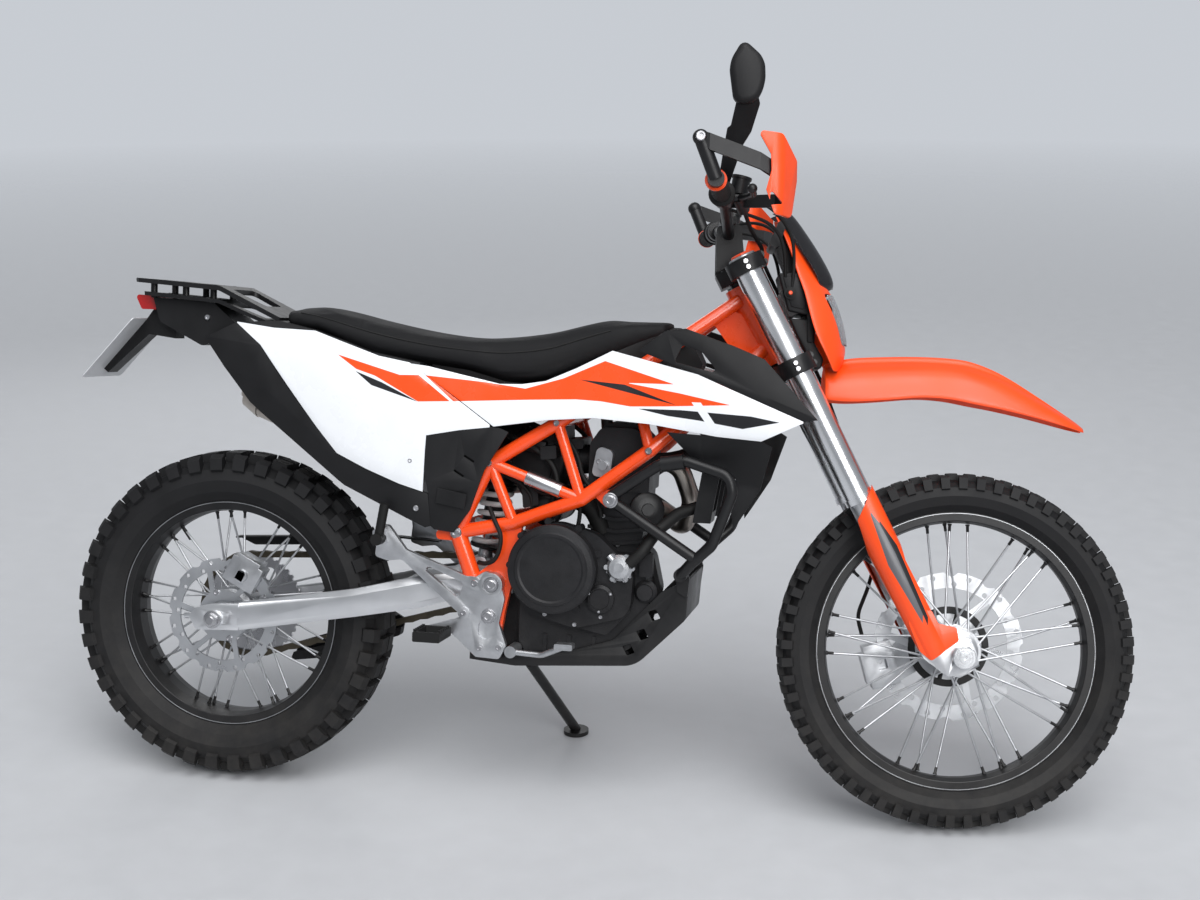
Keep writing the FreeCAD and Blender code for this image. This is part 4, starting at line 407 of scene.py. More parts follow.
def make_casting():
    tree, enter, out = start_group("cast_skin", [("Scale", 420.0)], ["Height", "Patches"])
    place = on_object(tree)
    cells = tree.nodes.new("ShaderNodeTexVoronoi")
    tree.links.new(place, cells.inputs["Vector"])
    tree.links.new(enter.outputs["Scale"], cells.inputs["Scale"])
    pits = maths(tree, "MULTIPLY", cells.outputs["Distance"], 0.6)
    tree.links.new(maths(tree, "ADD", pits, noise(tree, place, 160.0, 4.0)), out.inputs["Height"])
    tree.links.new(noise(tree, place, 22.0, 5.0, 0.65), out.inputs["Patches"])
    return tree


def make_brushed():
    tree, enter, out = start_group("brushed_lines", [("Scale", 60.0), ("Stretch", 40.0)], ["Height", "Tone"])
    place = on_object(tree)
    parts = tree.nodes.new("ShaderNodeSeparateXYZ")
    joined = tree.nodes.new("ShaderNodeCombineXYZ")
    tree.links.new(place, parts.inputs[0])
    tree.links.new(parts.outputs["X"], joined.inputs["X"])
    tree.links.new(maths(tree, "MULTIPLY", parts.outputs["Y"], enter.outputs["Stretch"]), joined.inputs["Y"])
    tree.links.new(maths(tree, "MULTIPLY", parts.outputs["Z"], enter.outputs["Stretch"]), joined.inputs["Z"])
    lines = noise(tree, joined.outputs[0], enter.outputs["Scale"], 4.0)
    tree.links.new(lines, out.inputs["Height"])
    tree.links.new(noise(tree, place, 9.0, 3.0), out.inputs["Tone"])
    return tree


def make_dust():
    tree, enter, out = start_group("road_dust", [("Top", 0.6), ("Amount", 0.3)], ["Mask"])
    place = on_object(tree)
    parts = tree.nodes.new("ShaderNodeSeparateXYZ")
    tree.links.new(place, parts.inputs[0])
    level = maths(tree, "DIVIDE", parts.outputs["Z"], enter.outputs["Top"])
    low = maths(tree, "SUBTRACT", 1.0, level, clamp=True)
    patchy = remap(tree, noise(tree, place, 18.0, 6.0, 0.7), 0.35, 0.7, 0.15, 1.0)
    lying = maths(tree, "MULTIPLY", low, patchy)
    tree.links.new(maths(tree, "MULTIPLY", lying, enter.outputs["Amount"], clamp=True), out.inputs["Mask"])
    return tree


EFFECTS = {"grain": make_grain(), "casting": make_casting(), "brushed": make_brushed(), "dust": make_dust()}
print("shared effects", sorted(EFFECTS))


# %% [markdown]
# ## From effects to a finish
# Every finish has the same build: its colour wanders a little between a darker and a lighter tone, its skin drives
# the bump, and dust covers what lies low. Only the values differ, so one function builds them all.

# %% Building a finish
DUST = (0.30, 0.27, 0.23)
FINISH = {}


def effect(tree, name, **values):
    node = tree.nodes.new("ShaderNodeGroup")
    node.node_tree = EFFECTS[name]
    for label, value in values.items():
        node.inputs[label.capitalize()].default_value = value
    return node.outputs


def finish(name, colour, rough, metal=0.0, coat=0.0, skin="grain", scale=900.0, bump=0.1, vary=0.12, dust=0.0,
           paint=None):
    """A finish: a base colour that varies a little, a skin with its own relief, then dust."""
    made = bpy.data.materials.new(name)
    made.use_nodes = True
    tree = made.node_tree
    shader = tree.nodes["Principled BSDF"]
    relief = effect(tree, skin, scale=scale)
    darker = tuple(v * (1 - vary) for v in colour)
    lighter = tuple(min(1.0, v * (1 + vary * 0.6)) for v in colour)
    body = blend(tree, remap(tree, relief[1], 0.3, 0.7, 0.0, 1.0), darker, lighter)
    if paint:
        body = paint(tree, body)
    roughness = remap(tree, relief[1], 0.3, 0.7, max(0.03, rough - 0.06), min(1.0, rough + 0.07))
    if dust:
        lying = effect(tree, "dust", amount=dust)["Mask"]
        body = blend(tree, lying, body, DUST)
        roughness = maths(tree, "ADD", roughness, maths(tree, "MULTIPLY", lying, 0.4), clamp=True)
    tree.links.new(body, shader.inputs["Base Color"])
    tree.links.new(roughness, shader.inputs["Roughness"])
    shader.inputs["Metallic"].default_value = metal
    shader.inputs["Coat Weight"].default_value = coat
    shader.inputs["Coat Roughness"].default_value = 0.06
    shader.inputs["Specular IOR Level"].default_value = 0.5 if metal or coat else 0.3
    relief_node = tree.nodes.new("ShaderNodeBump")
    relief_node.inputs["Strength"].default_value = bump
    relief_node.inputs["Distance"].default_value = 0.0006
    tree.links.new(relief[0], relief_node.inputs["Height"])
    tree.links.new(relief_node.outputs["Normal"], shader.inputs["Normal"])
    FINISH[name] = made
    return made


# %% [markdown]
# ## Stripes that follow the machine
# The stripes on the white panels are part of the panel's finish. They are drawn in the upright machine's own side
# view: the Object coordinates are turned upright first, and each stripe is then the space between a top line and a
# low line over its length.

# %% Stripes
def side_view(tree, place_of=UPRIGHT):
    """The upright machine's x and z, in millimetres, at each point of a surface."""
    place = on_object(tree)
    mapping = tree.nodes.new("ShaderNodeMapping")
    back = place_of.inverted()
    mapping.inputs["Location"].default_value = back.translation
    mapping.inputs["Rotation"].default_value = back.to_quaternion().to_euler()
    mapping.inputs["Scale"].default_value = (1000, 1000, 1000)
    tree.links.new(place, mapping.inputs["Vector"])
    parts = tree.nodes.new("ShaderNodeSeparateXYZ")
    tree.links.new(mapping.outputs[0], parts.inputs[0])
    return parts.outputs["X"], parts.outputs["Z"]


def line_over(tree, x, stops, start, end, low, high):
    """A height that follows straight lines from stop to stop."""
    curve = tree.nodes.new("ShaderNodeFloatCurve")
    tree.links.new(remap(tree, x, start, end, 0.0, 1.0), curve.inputs["Value"])
    line = curve.mapping.curves[0]
    places = [((sx - start) / (end - start), (sz - low) / (high - low)) for sx, sz in stops]
    line.points[0].location = places[0]
    line.points[1].location = places[-1]
    for place in places[1:-1]:
        line.points.new(*place)
    for stop in line.points:
        stop.handle_type = "VECTOR"
    curve.mapping.update()
    return remap(tree, curve.outputs["Value"], 0.0, 1.0, low, high)


def stripe(tree, x, z, top, low):
    """A mask that is 1 between two lines, each of (x, z) stops over the same length."""
    start, end = top[0][0], top[-1][0]
    heights = [p[1] for p in top + low]
    bottom, ceiling = min(heights) - 10, max(heights) + 10
    above = maths(tree, "SUBTRACT", line_over(tree, x, top, start, end, bottom, ceiling), z)
    below = maths(tree, "SUBTRACT", z, line_over(tree, x, low, start, end, bottom, ceiling))
    inside = maths(tree, "MINIMUM", above, below)
    within = maths(tree, "MINIMUM", maths(tree, "SUBTRACT", x, start), maths(tree, "SUBTRACT", end, x))
    inside = maths(tree, "MINIMUM", inside, within)
    return maths(tree, "MULTIPLY", inside, 2.0, clamp=True)


ORANGE = (0.93, 0.075, 0.006)
BRIGHT_ORANGE = (0.95, 0.075, 0.006)
WHITE = (0.83, 0.85, 0.88)
SOOT = (0.10, 0.10, 0.11)
INK = (0.012, 0.012, 0.014)
ORANGE_STRIPES = [
    ([(444, 861), (563, 852), (648, 842), (724, 865), (806, 902), (900, 876), (947, 863)],
     [(444, 860), (504, 811), (656, 820), (753, 825), (856, 822), (858, 861), (947, 862)]),
    ([(800, 870), (856, 861), (960, 846), (1059, 828)], [(800, 824), (864, 816), (932, 819), (1059, 827)]),
    ([(259, 896), (318, 880), (391, 860), (430, 861), (496, 812)],
     [(259, 895), (300, 868), (340, 856), (432, 808), (496, 811)]),
]
BLACK_STRIPES = [
    ([(300, 864), (355, 844), (430, 809)], [(300, 863), (334, 837), (430, 808)]),
    ([(882, 813), (964, 814), (1034, 811), (1101, 808), (1155, 799)],
     [(882, 812), (940, 801), (1001, 795), (1086, 783), (1155, 798)]),
    ([(760, 864), (850, 858), (952, 824)], [(760, 863), (832, 848), (952, 823)]),
]
WHITE_GAPS = [
    ([(985, 830), (1003, 830), (1040, 780)], [(985, 829), (1022, 780), (1040, 779)]),
]
GUARD_BANDS = [
    ([(1312, 622), (1360, 566), (1420, 440)], [(1312, 616), (1350, 520), (1420, 412)], SOOT),
    ([(1330, 606), (1366, 560), (1430, 424)], [(1330, 600), (1362, 546), (1430, 408)], INK),
]


def guard_bands(tree, body):
    x, z = side_view(tree, STEERED)
    for top, low, colour in GUARD_BANDS:
        body = blend(tree, stripe(tree, x, z, top, low), body, colour)
    return body


def panel_stripes(tree, body):
    x, z = side_view(tree)
    for colour, stripes in ((ORANGE, ORANGE_STRIPES), (INK, BLACK_STRIPES), (WHITE, WHITE_GAPS)):
        for stops in stripes:
            body = blend(tree, stripe(tree, x, z, *stops), body, colour)
    return body


# %% [markdown]
# ## The finishes of this machine
# One call for each finish. Bare metals have a high Metallic and a brushed or a cast skin, moulded plastics have a fine
# grain and no Metallic, and painted tubes have a clear coat over a slightly uneven skin.

# %% The finishes of this machine
finish("orange_paint", ORANGE, 0.28, coat=0.6, skin="casting", scale=300.0, bump=0.02, vary=0.06, dust=0.1)
finish("orange_plastic", BRIGHT_ORANGE, 0.36, coat=0.1, scale=1400.0, bump=0.05, vary=0.05, dust=0.08)
finish("banded_guard", BRIGHT_ORANGE, 0.36, coat=0.1, scale=1400.0, bump=0.05, vary=0.05, dust=0.05,
       paint=guard_bands)
finish("striped_panel", WHITE, 0.26, coat=0.3, scale=1500.0, bump=0.02, vary=0.03, paint=panel_stripes)
finish("black_plastic", (0.008, 0.008, 0.009), 0.5, scale=1100.0, bump=0.3, vary=0.25, dust=0.04)
finish("seat_cover", (0.005, 0.005, 0.006), 0.7, scale=1600.0, bump=0.6, vary=0.3)
finish("black_metal", (0.008, 0.008, 0.009), 0.4, metal=0.2, skin="casting", scale=700.0, bump=0.12, vary=0.2,
       dust=0.05)
finish("engine_black", (0.014, 0.014, 0.016), 0.46, metal=0.4, skin="casting", scale=500.0, bump=0.3, vary=0.3,
       dust=0.08)
finish("cast_alloy", (0.56, 0.57, 0.59), 0.36, metal=0.95, skin="casting", scale=600.0, bump=0.14, vary=0.18,
       dust=0.06)
finish("swingarm_alloy", (0.80, 0.81, 0.83), 0.36, metal=0.95, skin="brushed", scale=50.0, bump=0.06, vary=0.1,
       dust=0.05)
finish("fork_alloy", (0.86, 0.87, 0.89), 0.24, metal=1.0, skin="brushed", scale=40.0, bump=0.05, vary=0.07)
finish("steel", (0.55, 0.55, 0.57), 0.28, metal=1.0, skin="brushed", scale=80.0, bump=0.06, vary=0.15, dust=0.1)
finish("disc_steel", (0.66, 0.67, 0.69), 0.32, metal=1.0, skin="brushed", scale=120.0, bump=0.08, vary=0.15)
finish("pipe_steel", (0.46, 0.42, 0.38), 0.33, metal=1.0, skin="brushed", scale=30.0, bump=0.08, vary=0.5)
finish("oiled_chain", (0.10, 0.085, 0.06), 0.4, metal=0.8, skin="casting", scale=800.0, bump=0.2, vary=0.4, dust=0.3)
finish("tyre_rubber", (0.009, 0.009, 0.010), 0.62, scale=500.0, bump=0.3, vary=0.3, dust=0.07)
finish("rubber", (0.007, 0.007, 0.007), 0.6, scale=900.0, bump=0.3, vary=0.25)
finish("plate_grey", (0.62, 0.63, 0.65), 0.4, metal=0.1, skin="brushed", scale=90.0, bump=0.05, vary=0.08)
finish("red_lens", (0.45, 0.01, 0.01), 0.15, coat=0.8, scale=300.0, bump=0.05, vary=0.2)
finish("white_spring", (0.72, 0.72, 0.72), 0.35, coat=0.5, skin="casting", scale=400.0, bump=0.04, vary=0.08,
       dust=0.15)
print("finishes", len(FINISH))

# %% [markdown]
# ## Carried-over parts
# Frame, engine, swingarm, wheels and most fittings already have their real shape in the frame, so they only get
# their finish.

# %% Finishes on the frame's own parts
CARRIED = {
    "orange_paint": ["head_frame", "trellis_left", "trellis_right"],
    "orange_plastic": ["fork_guards", "front_fender", "headlight_mask", "hand_shields"],
    "striped_panel": ["side_panels", "shrouds"],
    "black_plastic": ["fuel_tank", "airbox", "scoops", "vented_covers", "tail_housing", "instruments", "mirror",
                      "chain_guard", "electrics"],
    "seat_cover": ["seat"],
    "black_metal": ["radiators", "skid_plate", "crash_bars", "luggage_rack", "triple_clamps", "handlebar",
                    "hand_guards", "bar_controls", "front_rim", "rear_rim", "side_stand"],
    "engine_black": ["engine_block", "engine_covers", "cylinder"],
    "cast_alloy": ["peg_brackets", "fork_lowers", "front_caliper", "rear_caliper", "engine_fittings", "foot_levers",
                   "front_hub", "rear_hub"],
    "swingarm_alloy": ["swingarm"],
    "fork_alloy": ["fork_tubes"],
    "disc_steel": ["front_disc", "rear_disc"],
    "steel": ["rear_sprocket"],
    "white_spring": ["shock_absorber"],
    "pipe_steel": ["exhaust"],
    "oiled_chain": ["drive_chain"],
    "tyre_rubber": ["front_tyre", "rear_tyre"],
    "rubber": ["grips", "pegs", "coolant_hoses", "brake_hose"],
    "plate_grey": ["licence_plate"],
    "red_lens": ["tail_light"],
}


def dress(node, material):
    obj = frame["nodes"][node]
    if not obj.data.materials:
        obj.data.materials.append(material)
    for slot in obj.material_slots:
        slot.material = material


for look_name, nodes in CARRIED.items():
    for node in nodes:
        dress(node, FINISH[look_name])
print("dressed", sum(len(nodes) for nodes in CARRIED.values()), "of the frame's parts")

# %% [markdown]
# ## Setting a piece in its place
# A finished piece has its modifiers applied, its place in its mesh, a finish and a body that it rides on, and, where
# it stands for a plain part of the frame, that part is hidden.

# %% Setting in place
def settle(obj, look_name, body, replaces=(), place=UPRIGHT, smooth=35):
    apply_all(obj)
    bpy.ops.object.transform_apply(location=True, rotation=True, scale=True)
    obj.data.transform(place)
    bpy.ops.object.shade_smooth_by_angle(angle=math.radians(smooth))
    obj.data.materials.clear()
    obj.data.materials.append(FINISH[look_name])
    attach(obj, body)
    if replaces:
        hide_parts(*replaces)
    count = sum(len(face.vertices) - 2 for face in obj.data.polygons)
    print("made", obj.name, "triangles", count)


# %% [markdown]
# ## Clear parts
# The lamp's lens and the smoked screen are glass to the eye: a plain shader with high transmission and a tint.

# %% Clear finishes
def clear_finish(name, colour, rough):
    made = bpy.data.materials.new(name)
    made.use_nodes = True
    tree = made.node_tree
    shader = tree.nodes["Principled BSDF"]
    waves = effect(tree, "grain", scale=60.0)
    tint = blend(tree, waves["Patches"], colour, tuple(v * 0.9 for v in colour))
    tree.links.new(tint, shader.inputs["Base Color"])
    shader.inputs["Roughness"].default_value = rough
    shader.inputs["Transmission Weight"].default_value = 0.85
    shader.inputs["IOR"].default_value = 1.3
    FINISH[name] = made


clear_finish("clear_lens", (0.85, 0.87, 0.9), 0.08)
clear_finish("smoked_screen", (0.10, 0.10, 0.11), 0.12)
dress("headlight", FINISH["clear_lens"])
dress("windshield", FINISH["smoked_screen"])

# %% [markdown]
# ## Smooth bodywork
# The side panels of a motorcycle are thin mouldings over one flowing surface. The surface is known at ten stations
# along the machine, as heights and half widths, and a smooth curve through the stations gives it everywhere. A panel
# is then a sheet of that surface between its own top and low line.

# %% The side surface
STATIONS = {
    -45: [(850, 92), (880, 100), (921, 104), (950, 100), (975, 88)],
    90: [(760, 118), (830, 126), (909, 120), (945, 108), (975, 95)],
    265: [(625, 132), (700, 146), (830, 146), (923, 126), (945, 118)],
    410: [(560, 140), (650, 152), (765, 152), (885, 136), (900, 130)],
    585: [(540, 136), (650, 146), (762, 148), (850, 132), (870, 125)],
    700: [(560, 132), (680, 146), (783, 156), (860, 134), (885, 125)],
    820: [(560, 130), (700, 150), (790, 168), (915, 132), (935, 120)],
    1000: [(560, 108), (690, 150), (768, 182), (884, 176), (985, 150)],
    1120: [(560, 104), (663, 116), (760, 194), (848, 188), (945, 160)],
    1235: [(560, 104), (663, 114), (760, 196), (806, 202), (945, 160)],
}
STATION_ROWS = 5


def through(stops, at):
    """A smooth curve through stops of (place, value), held level past its ends."""
    if at <= stops[0][0]:
        return stops[0][1]
    if at >= stops[-1][0]:
        return stops[-1][1]
    i = max(n for n, stop in enumerate(stops[:-1]) if stop[0] <= at)
    (x1, y1), (x2, y2) = stops[i], stops[i + 1]
    x0, y0 = stops[i - 1] if i else (2 * x1 - x2, 2 * y1 - y2)
    x3, y3 = stops[i + 2] if i + 2 < len(stops) else (2 * x2 - x1, 2 * y2 - y1)
    lean_1 = (y2 - y0) / (x2 - x0) * (x2 - x1)
    lean_2 = (y3 - y1) / (x3 - x1) * (x2 - x1)
    t = (at - x1) / (x2 - x1)
    rise = (2 * t ** 3 - 3 * t ** 2 + 1) * y1 + (-2 * t ** 3 + 3 * t ** 2) * y2
    return rise + (t ** 3 - 2 * t ** 2 + t) * lean_1 + (t ** 3 - t ** 2) * lean_2


def straight(stops, at):
    """Straight lines from stop to stop."""
    if at <= stops[0][0]:
        return stops[0][1]
    for (x1, y1), (x2, y2) in zip(stops, stops[1:]):
        if at <= x2:
            return y1 + (y2 - y1) * (at - x1) / (x2 - x1)
    return stops[-1][1]


def half_width(x, z):
    """How far the side surface stands from the machine's middle at a place of the side view."""
    rows = []
    for i in range(STATION_ROWS):
        height = through([(place, rows_here[i][0]) for place, rows_here in STATIONS.items()], x)
        width = through([(place, rows_here[i][1]) for place, rows_here in STATIONS.items()], x)
        rows.append((height, width))
    return through(rows, z)


def point_outwards(obj, direction=(0, 1, 0)):
    """Turns an open sheet over if its faces look the wrong way on the whole."""
    total = sum((Vector(face.normal) * face.area for face in obj.data.polygons), Vector())
    if total.dot(Vector(direction)) < 0:
        edit(obj, "FACE")
        bpy.ops.mesh.select_all(action="SELECT")
        bpy.ops.mesh.flip_normals()
        leave()


def panel(name, top, low, proud=0.8, thick=4.0, step=16, rows=8):
    """A thin moulded sheet of the side surface between two lines, on both sides of the machine."""
    start, end = top[0][0], top[-1][0]
    marks = sorted({x for x, _ in top + low if start < x < end})
    count = max(2, round((end - start) / step))
    stops = sorted({round(start + (end - start) * i / count, 1) for i in range(count + 1)} | set(marks))
    places = stops[:1]
    for x in stops[1:]:
        if x - places[-1] > 3 or x in marks:
            places.append(x)
    sections = []
    for x in places:
        high, foot = straight(top, x), straight(low, x)
        line = []
        for i in range(rows + 1):
            z = foot + (high - foot) * i / rows
            line.append((x, half_width(x, z) + proud, z + i * 0.02))
        sections.append(line)
    obj = sweep(name, sections)
    point_outwards(obj)
    thicken(obj, thick)
    ease(obj, 1.1, 2, 50)
    mirror(obj)
    return obj


# %% White rear panels
REAR_TOP = [(30, 955), (113, 945), (204, 942), (262, 923), (345, 896), (409, 885), (497, 825), (580, 768)]
REAR_LOW = [(30, 953), (88, 910), (154, 829), (219, 750), (265, 698), (327, 670), (398, 643), (447, 629), (452, 742),
            (519, 755), (580, 763)]
rear_panels = panel("rear_panels", REAR_TOP, REAR_LOW)
settle(rear_panels, "striped_panel", "chassis", ["side_panels"])

# %% White shrouds
SHROUD_TOP = [(413, 883), (448, 879), (520, 864), (595, 849), (640, 850), (688, 858), (750, 886), (819, 922),
              (905, 903), (994, 883), (1082, 848), (1200, 802)]
SHROUD_LOW = [(413, 882), (500, 825), (588, 765), (702, 783), (793, 791), (905, 784), (1036, 766), (1122, 761),
              (1200, 799)]
shroud_panels = panel("shroud_panels", SHROUD_TOP, SHROUD_LOW, proud=1.5)
settle(shroud_panels, "striped_panel", "chassis", ["shrouds"])

# %% [markdown]
# ## Seat
# A dual sport seat is a long foam pad under a tight cover, soft at its edges and dished where the rider sits. It is
# drawn as a closed shape a little smaller than the real one, and a short cloth simulation with air pressure inside
# then swells it, so that the cover looks stretched over foam. A fine raised seam follows each side of the top.

# %% Seat form
SEAT_LINE = {"low": [(120, 960), (203, 943), (326, 903), (429, 885), (521, 873), (596, 853), (683, 860), (741, 887),
                     (813, 919), (922, 966)],
             "top": [(120, 990), (203, 983), (326, 957), (429, 939), (521, 931), (596, 935), (683, 948), (741, 964),
                     (813, 982), (922, 987)],
             "half": [(120, 88), (203, 108), (326, 120), (429, 124), (521, 122), (596, 114), (683, 100), (741, 92),
                      (813, 80), (922, 52)]}


def seat_section(x):
    low, top, half = (through(SEAT_LINE[part], x) for part in ("low", "top", "half"))
    deep = top - low
    side = [(0.62, 0.0), (0.94, 0.03), (1.0, 0.34), (0.97, 0.70), (0.84, 0.93), (0.45, 1.0)]
    right = [(half * across_part, low + deep * rise) for across_part, rise in side]
    ring = [(0, low)] + right + [(0, top)] + [(-y, z) for y, z in reversed(right)]
    return [(x, y, z) for y, z in ring]


SEAT_FROM, SEAT_LONG, SEAT_STEPS = 122, 797, 34
stations = [SEAT_FROM + SEAT_LONG * i / SEAT_STEPS for i in range(SEAT_STEPS + 1)]
seat_pad = sweep("seat_pad", [seat_section(x) for x in stations], closed=True)
round_off(seat_pad, 1)
seat_pad.data.transform(UPRIGHT)


# %% Seat cover
def swell(obj, voxel=0.006, pressure=4.0, cap=0.006, frames=20):
    """Remeshes a pad evenly and blows its cover up a little, as cloth."""
    pick(obj)
    obj.data.remesh_voxel_size = voxel
    bpy.ops.object.voxel_remesh()
    before = [v.co.copy() for v in obj.data.vertices]
    made = obj.modifiers.new("cover", "CLOTH")
    made.settings.use_pressure = True
    made.settings.uniform_pressure_force = pressure
    made.settings.effector_weights.gravity = 0
    made.settings.tension_stiffness = 30
    made.settings.bending_stiffness = 8
    made.point_cache.frame_start = 1
    made.point_cache.frame_end = frames
    for number in range(1, frames + 1):
        bpy.context.scene.frame_set(number)
    pick(obj)
    bpy.ops.object.modifier_apply(modifier=made.name)
    bpy.context.scene.frame_set(1)
    for vertex, start in zip(obj.data.vertices, before):
        move = vertex.co - start
        if move.length > cap:
            vertex.co = start + move.normalized() * cap
    print("cover swelled", obj.name, "points", len(before))


swell(seat_pad)
round_off(seat_pad, 1)
settle(seat_pad, "seat_cover", "chassis", ["seat"], place=Matrix.Identity(4), smooth=80)

# %% [markdown]
# ## Front fender
# The fender is one orange moulding: a raised spine down its middle with a groove on each side, bright sloping
# shoulders, and a skirt that turns down at the edge. Half of it is drawn, and a Mirror modifier makes the rest.

# %% A half shell
def cut_away(obj, test):
    """Deletes the faces whose middle passes a test."""
    edit(obj, "FACE")
    choose(obj, test)
    bpy.ops.mesh.delete(type="FACE")
    leave()


def half_shell(name, sections, thickness, outwards, levels, opening=None):
    """A shell swept as its left half, given its wall, mirrored and rounded."""
    obj = sweep(name, sections)
    point_outwards(obj, outwards)
    if opening:
        cut_away(obj, opening)
    thicken(obj, thickness)
    cut_away(obj, lambda middle, normal: abs(middle.y) < 0.01)
    mirror(obj)
    round_off(obj, levels)
    return obj


# %% Front fender
FENDER_TOP = [(82, 23), (130, 36), (200, 42), (273, 45), (330, 44), (372, 39), (430, 18), (500, -22), (591, -79),
              (600, -86)]
FENDER_EDGE = [(82, -50), (130, -52), (200, -46), (273, -38), (330, -40), (372, -47), (430, -56), (500, -70),
               (591, -92), (600, -94)]
FENDER_HALF = [(82, 66), (130, 72), (200, 74), (273, 70), (330, 66), (372, 64), (430, 60), (500, 52), (575, 38),
               (600, 14)]
FENDER_FORM = [(0.0, 0.0, 0), (0.17, 0.0, -0.5), (0.23, 0.0, -3), (0.27, 0.02, -10), (0.34, 0.04, -10.5),
               (0.55, 0.14, -9), (0.76, 0.34, -4), (0.90, 0.60, 0), (0.97, 0.82, 0), (1.0, 1.0, 0)]


def fender_section(x):
    top, edge, half = through(FENDER_TOP, x), through(FENDER_EDGE, x), through(FENDER_HALF, x)
    fade = min(1.0, (605 - x) / 200, (x - 40) / 60)
    return [(HEAD.x + x, half * part, HEAD.z + top + (edge - top) * drop + dip * fade)
            for part, drop, dip in FENDER_FORM]


FENDER_FROM, FENDER_LONG, FENDER_STEPS = 82, 517, 30
stations = [FENDER_FROM + FENDER_LONG * i / FENDER_STEPS for i in range(FENDER_STEPS + 1)]
fender = half_shell("fender", [fender_section(x) for x in stations], 3.2, (0, 1, 1), 1)
settle(fender, "orange_plastic", "steering", ["front_fender"], place=STEERED, smooth=50)

# %% [markdown]
# ## Eased edges
# A real casting or moulding never has a knife edge: each corner has a small radius that catches the light. Where the
# frame's own part has the right shape, a copy of it is merged into one mesh, its flat faces are joined up, and a
# small bevel eases its edges. The copy then stands for the plain part.

# %% Easing a copy
def eased_copy(node, width, look_name, body):
    source = frame["nodes"][node]
    obj = bpy.data.objects.new(node + "_eased", source.data.copy())
    bpy.context.scene.collection.objects.link(obj)
    obj.matrix_world = source.matrix_world.copy()
    edit(obj)
    bpy.ops.mesh.select_all(action="SELECT")
    bpy.ops.mesh.remove_doubles(threshold=0.00002)
    bpy.ops.mesh.dissolve_limited(angle_limit=math.radians(1.5))
    leave()
    ease(obj, width, 2, 32)
    settle(obj, look_name, body, [node], place=Matrix.Identity(4), smooth=32)


EASED = [
    ("hand_shields", 0.0012, "orange_plastic", "steering", "plastic_orange"),
    ("fork_guards", 0.0015, "banded_guard", "steering", "plastic_orange"),
    ("scoops", 0.0015, "black_plastic", "chassis", "plastic_black"),
    ("fuel_tank", 0.002, "black_plastic", "chassis", "plastic_black"),
    ("vented_covers", 0.0015, "black_plastic", "chassis", "plastic_black"),
    ("swingarm", 0.0025, "swingarm_alloy", "chassis", "alloy"),
    ("triple_clamps", 0.0015, "black_metal", "steering", "metal_black"),
    ("peg_brackets", 0.0012, "cast_alloy", "chassis", "alloy"),
    ("front_caliper", 0.0012, "cast_alloy", "steering", "alloy"),
    ("rear_caliper", 0.0012, "cast_alloy", "chassis", "alloy"),
    ("fork_lowers", 0.0012, "cast_alloy", "steering", "alloy"),
    ("skid_plate", 0.0012, "black_metal", "chassis", "metal_black"),
]
for node, width, look_name, body, slot in EASED:
    eased_copy(node, width, look_name, body)

# %% [markdown]
# ## Shock absorber
# The white coil spring shows between the frame tubes. A coil is a wire along a helix, worked out by a loop, and
# round it are the damper's body, its rod, the collars that hold the spring, the reservoir and the two eyes.

# %% Shock absorber
SHOCK_FOOT, SHOCK_HEAD = Vector((538, 0, 472)), Vector((577, 0, 691))
shock_way = (SHOCK_HEAD - SHOCK_FOOT).normalized()
shock_side = Vector((0, 1, 0))
shock_out = shock_way.cross(shock_side)
COIL_R, WIRE_R, COILS, COIL_FROM, COIL_TO = 30.0, 5.6, 6, 40, 158
coil = []
for i in range(COILS * 12 + 1):
    turn = math.tau * i / 12
    rise = COIL_FROM + (COIL_TO - COIL_FROM) * i / (COILS * 12)
    round_it = (shock_side * math.cos(turn) + shock_out * math.sin(turn)) * COIL_R
    coil.append(SHOCK_FOOT + shock_way * rise + round_it)
spring = tube("shock_spring", coil, WIRE_R)
settle(spring, "white_spring", "chassis", ["shock_absorber"], smooth=60)


def on_shock(profile, name):
    return turn_part(name, profile, SHOCK_FOOT, shock_way)


damper = put_together("shock_damper", [
    on_shock([(0, 34), (34, 34), (35, 36), (35, 40), (20, 41), (0, 41)], "collar_low"),
    on_shock([(0, 160), (35, 160), (37, 162), (37, 170), (30, 172), (30, 180), (0, 180)], "collar_top"),
    on_shock([(0, 70), (20, 70), (21, 72), (21, 160), (0, 160)], "body"),
    on_shock([(0, 180), (24, 180), (24, 196), (14, 204), (0, 204)], "crown"),
])
settle(damper, "engine_black", "chassis")
shock_rod = put_together("shock_rod", [
    on_shock([(0, 12), (7, 12), (7, 72), (0, 72)], "shaft"),
    on_shock([(0, 14), (15, 14), (15, 30), (12, 34), (0, 34)], "fork_end"),
    turn_part("eye_low", [(0, -14), (13, -14), (14, -13), (14, 13), (13, 14), (0, 14)], SHOCK_FOOT, (0, 1, 0)),
    turn_part("eye_top", [(0, -14), (15, -14), (16, -13), (16, 13), (15, 14), (0, 14)], SHOCK_HEAD, (0, 1, 0)),
])
settle(shock_rod, "cast_alloy", "chassis")
RESERVOIR_UP, RESERVOIR_OUT = 204, Vector((-14, -52, 0))
reservoir_at = SHOCK_FOOT + shock_way * RESERVOIR_UP + RESERVOIR_OUT
reservoir = turn_part("shock_reservoir", [(0, -24), (17, -24), (19, -22), (19, 28), (17, 31), (0, 31)], reservoir_at,
                      shock_way)
settle(reservoir, "engine_black", "chassis")

# %% [markdown]
# ## Wheels
# The rims are black with a thin light line at the flange, and each of the 36 spokes ends in a nipple at the rim. The
# nipple is made once, and its copies follow the same formula as the spokes.

